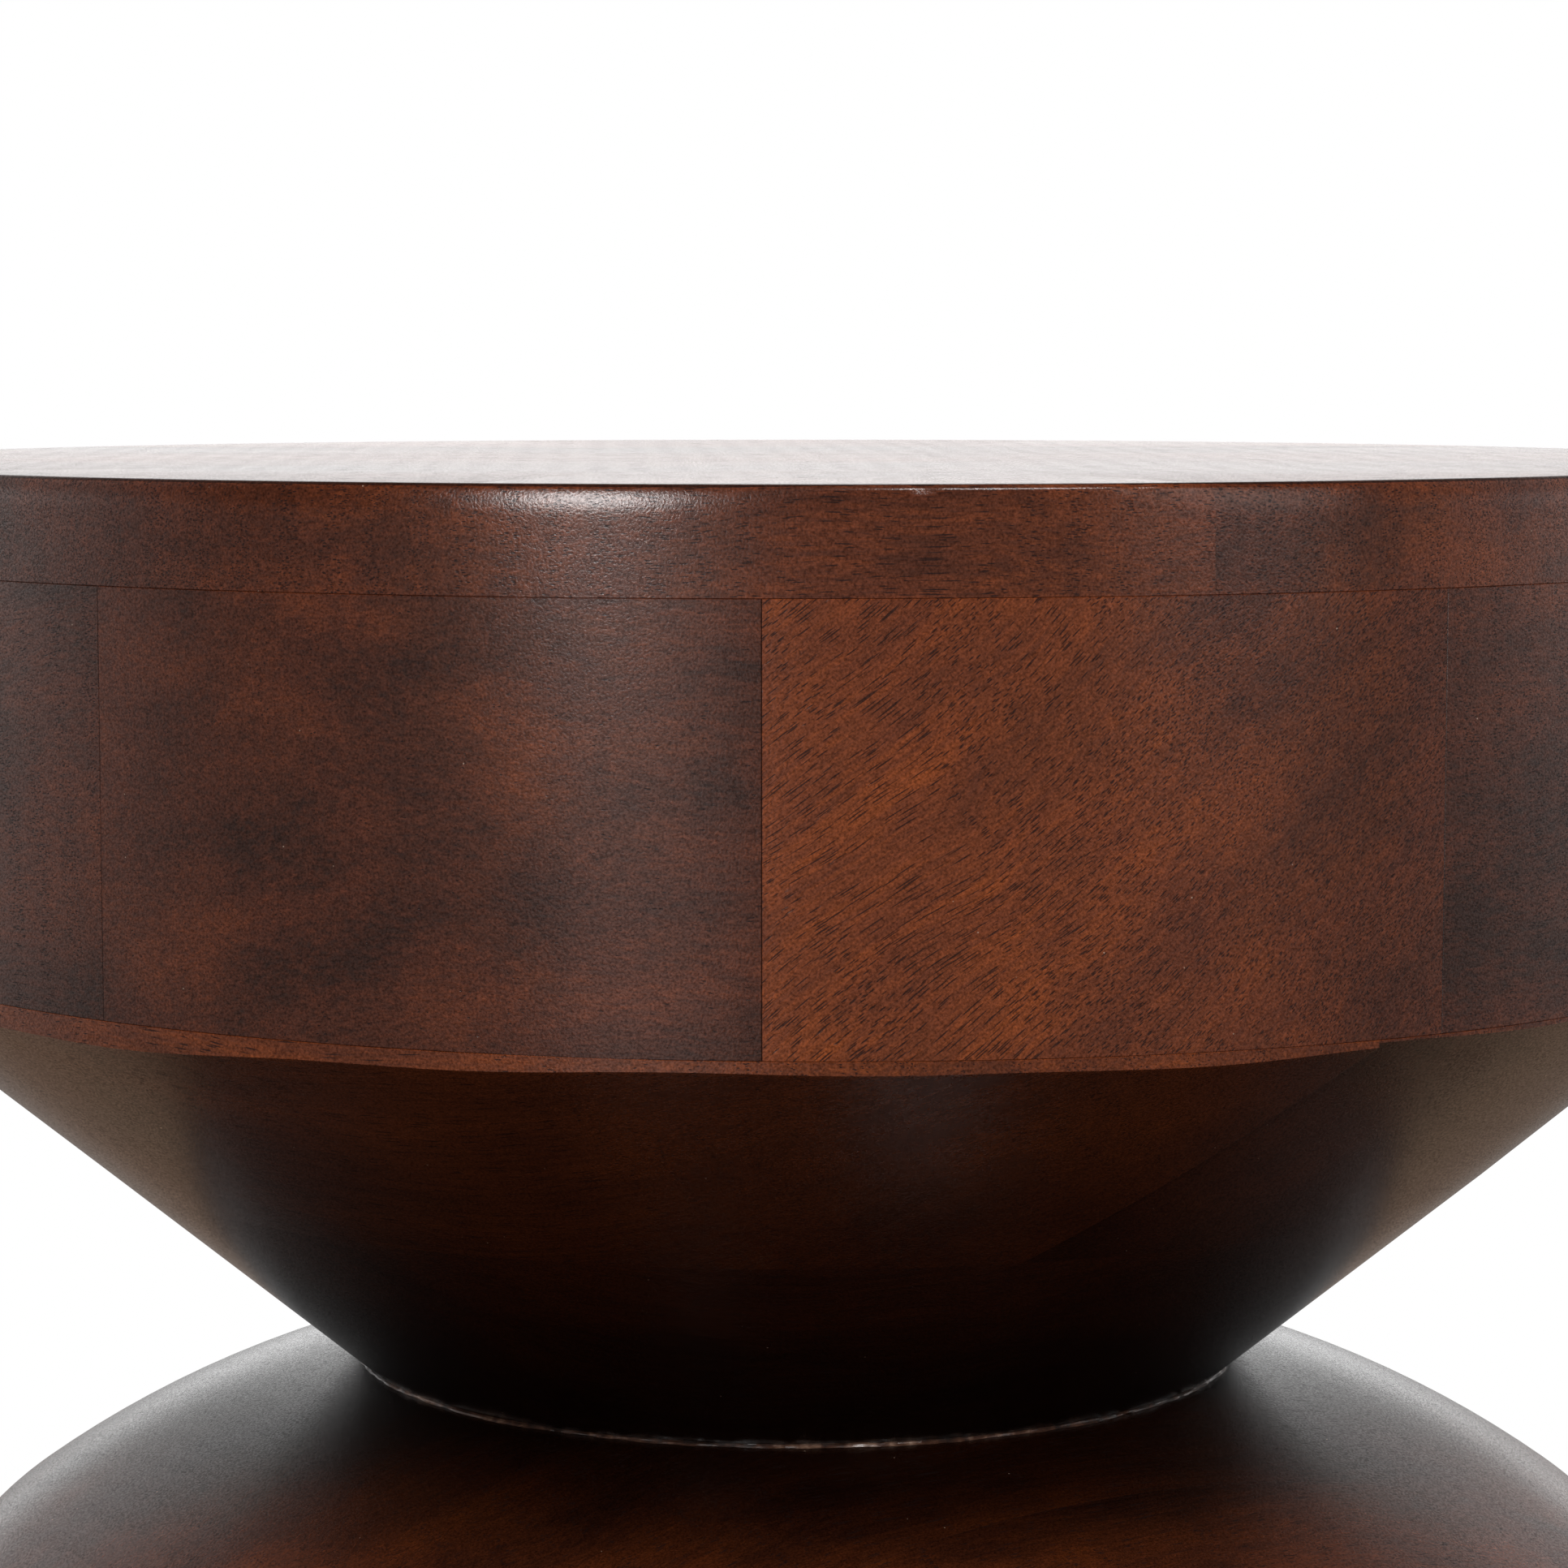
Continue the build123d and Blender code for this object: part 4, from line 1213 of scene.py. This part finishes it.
world = bpy.data.worlds.new("studio")
scene.world = world
world.use_nodes = True
world.node_tree.nodes.clear()
add = partial(add_node, world.node_tree)
direction = add("TexCoord", out="Generated")
heading = add("VectorMath NORMALIZE", [add("VectorMath MULTIPLY", [direction, (1.0, 1.0, 0.0)])])
backwards = add("SeparateXYZ", [heading], out="Y")
upwards = add("SeparateXYZ", [direction], out="Z")
curves = []
for value, points in ((backwards, ROUND_THE_ROOM), (upwards, UP_THE_FRONT), (upwards, UP_THE_BACK)):
    brightness = add("FloatCurve", {"Value": add("MapRange", [value, -1.0])})
    mapping = brightness.node.mapping
    curve = mapping.curves[0]
    for point, (place, height) in zip(curve.points, (points[0], points[-1])):
        point.location = ((place + 1) / 2, height)
    for place, height in points[1:-1]:
        curve.points.new((place + 1) / 2, height)
    for point in curve.points:
        point.handle_type = "VECTOR"
    mapping.update()
    curves.append(brightness)
round_the_room, up_the_front, up_the_back = curves
behind = add("Math MULTIPLY", [up_the_back, BACK_STRENGTH])
mirrored = add("Mix", {"Factor": round_the_room, "A": up_the_front, "B": behind})
rays = add("LightPath").node.outputs
for_light = add("Mix", {"Factor": rays["Is Glossy Ray"], "A": FILL_STRENGTH, "B": mirrored})
strength = add("Mix", {"Factor": rays["Is Camera Ray"], "A": for_light, "B": 1.0})
lowness = add("MapRange", [upwards, -0.15, -0.45])
warmed = add("Math MULTIPLY", [lowness, rays["Is Glossy Ray"]])
inputs = {"Factor": warmed, 6: linear("#FFFFFF"), 7: linear(MIRRORED_FLOOR)}
colour = add("Mix", inputs, out=2, data_type="RGBA")
add("OutputWorld", {"Surface": add("Background", {"Color": colour, "Strength": strength})})
print("world of", len(world.node_tree.nodes), "nodes")

# %% [markdown]
# The floor is a disc of matt paper. Near the table it shows the soft shadow, and further out it
# fades into the white. The lacquer doesn't mirror it: its place in the mirrored room is taken by
# the dim lower half of the world. It is clear from below, so that the underside can be looked at.

# %% Floor
FLOOR_RADIUS = 6.0
FADE_START = 0.42
FADE_END = 0.78

floor_disc = bmesh.new()
bmesh.ops.create_circle(floor_disc, cap_ends=True, segments=96, radius=FLOOR_RADIUS)
floor = as_object("floor", floor_disc)
paper, add = blank_material("matt white paper")
from_table = add("VectorMath LENGTH", [add("TexCoord", out="Object")], out="Value")
inputs = [from_table, FADE_START, FADE_END]
fade = add("MapRange", inputs, interpolation_type="SMOOTHSTEP")
rays = add("LightPath").node.outputs
inputs = {"Factor": rays["Is Camera Ray"], 6: linear("#282828"), 7: linear("#F2F2F2")}
shade = add("Mix", inputs, out=2, data_type="RGBA")
matt = add("BsdfDiffuse", {"Color": shade})
glow = add("Emission", {"Color": (1, 1, 1, 1), "Strength": 1.0})
melt = add("Math MULTIPLY", [fade, rays["Is Camera Ray"]])
seen = add("MixShader", [melt, matt, glow])
from_below = add("NewGeometry", out="Backfacing")
unseen = add("Math MAXIMUM", [rays["Is Glossy Ray"], from_below])
surface = add("MixShader", [unseen, seen, add("BsdfTransparent")])
add("OutputMaterial", {"Surface": surface})
floor.data.materials.append(paper)
print("floor of", 2 * FLOOR_RADIUS, "m across")
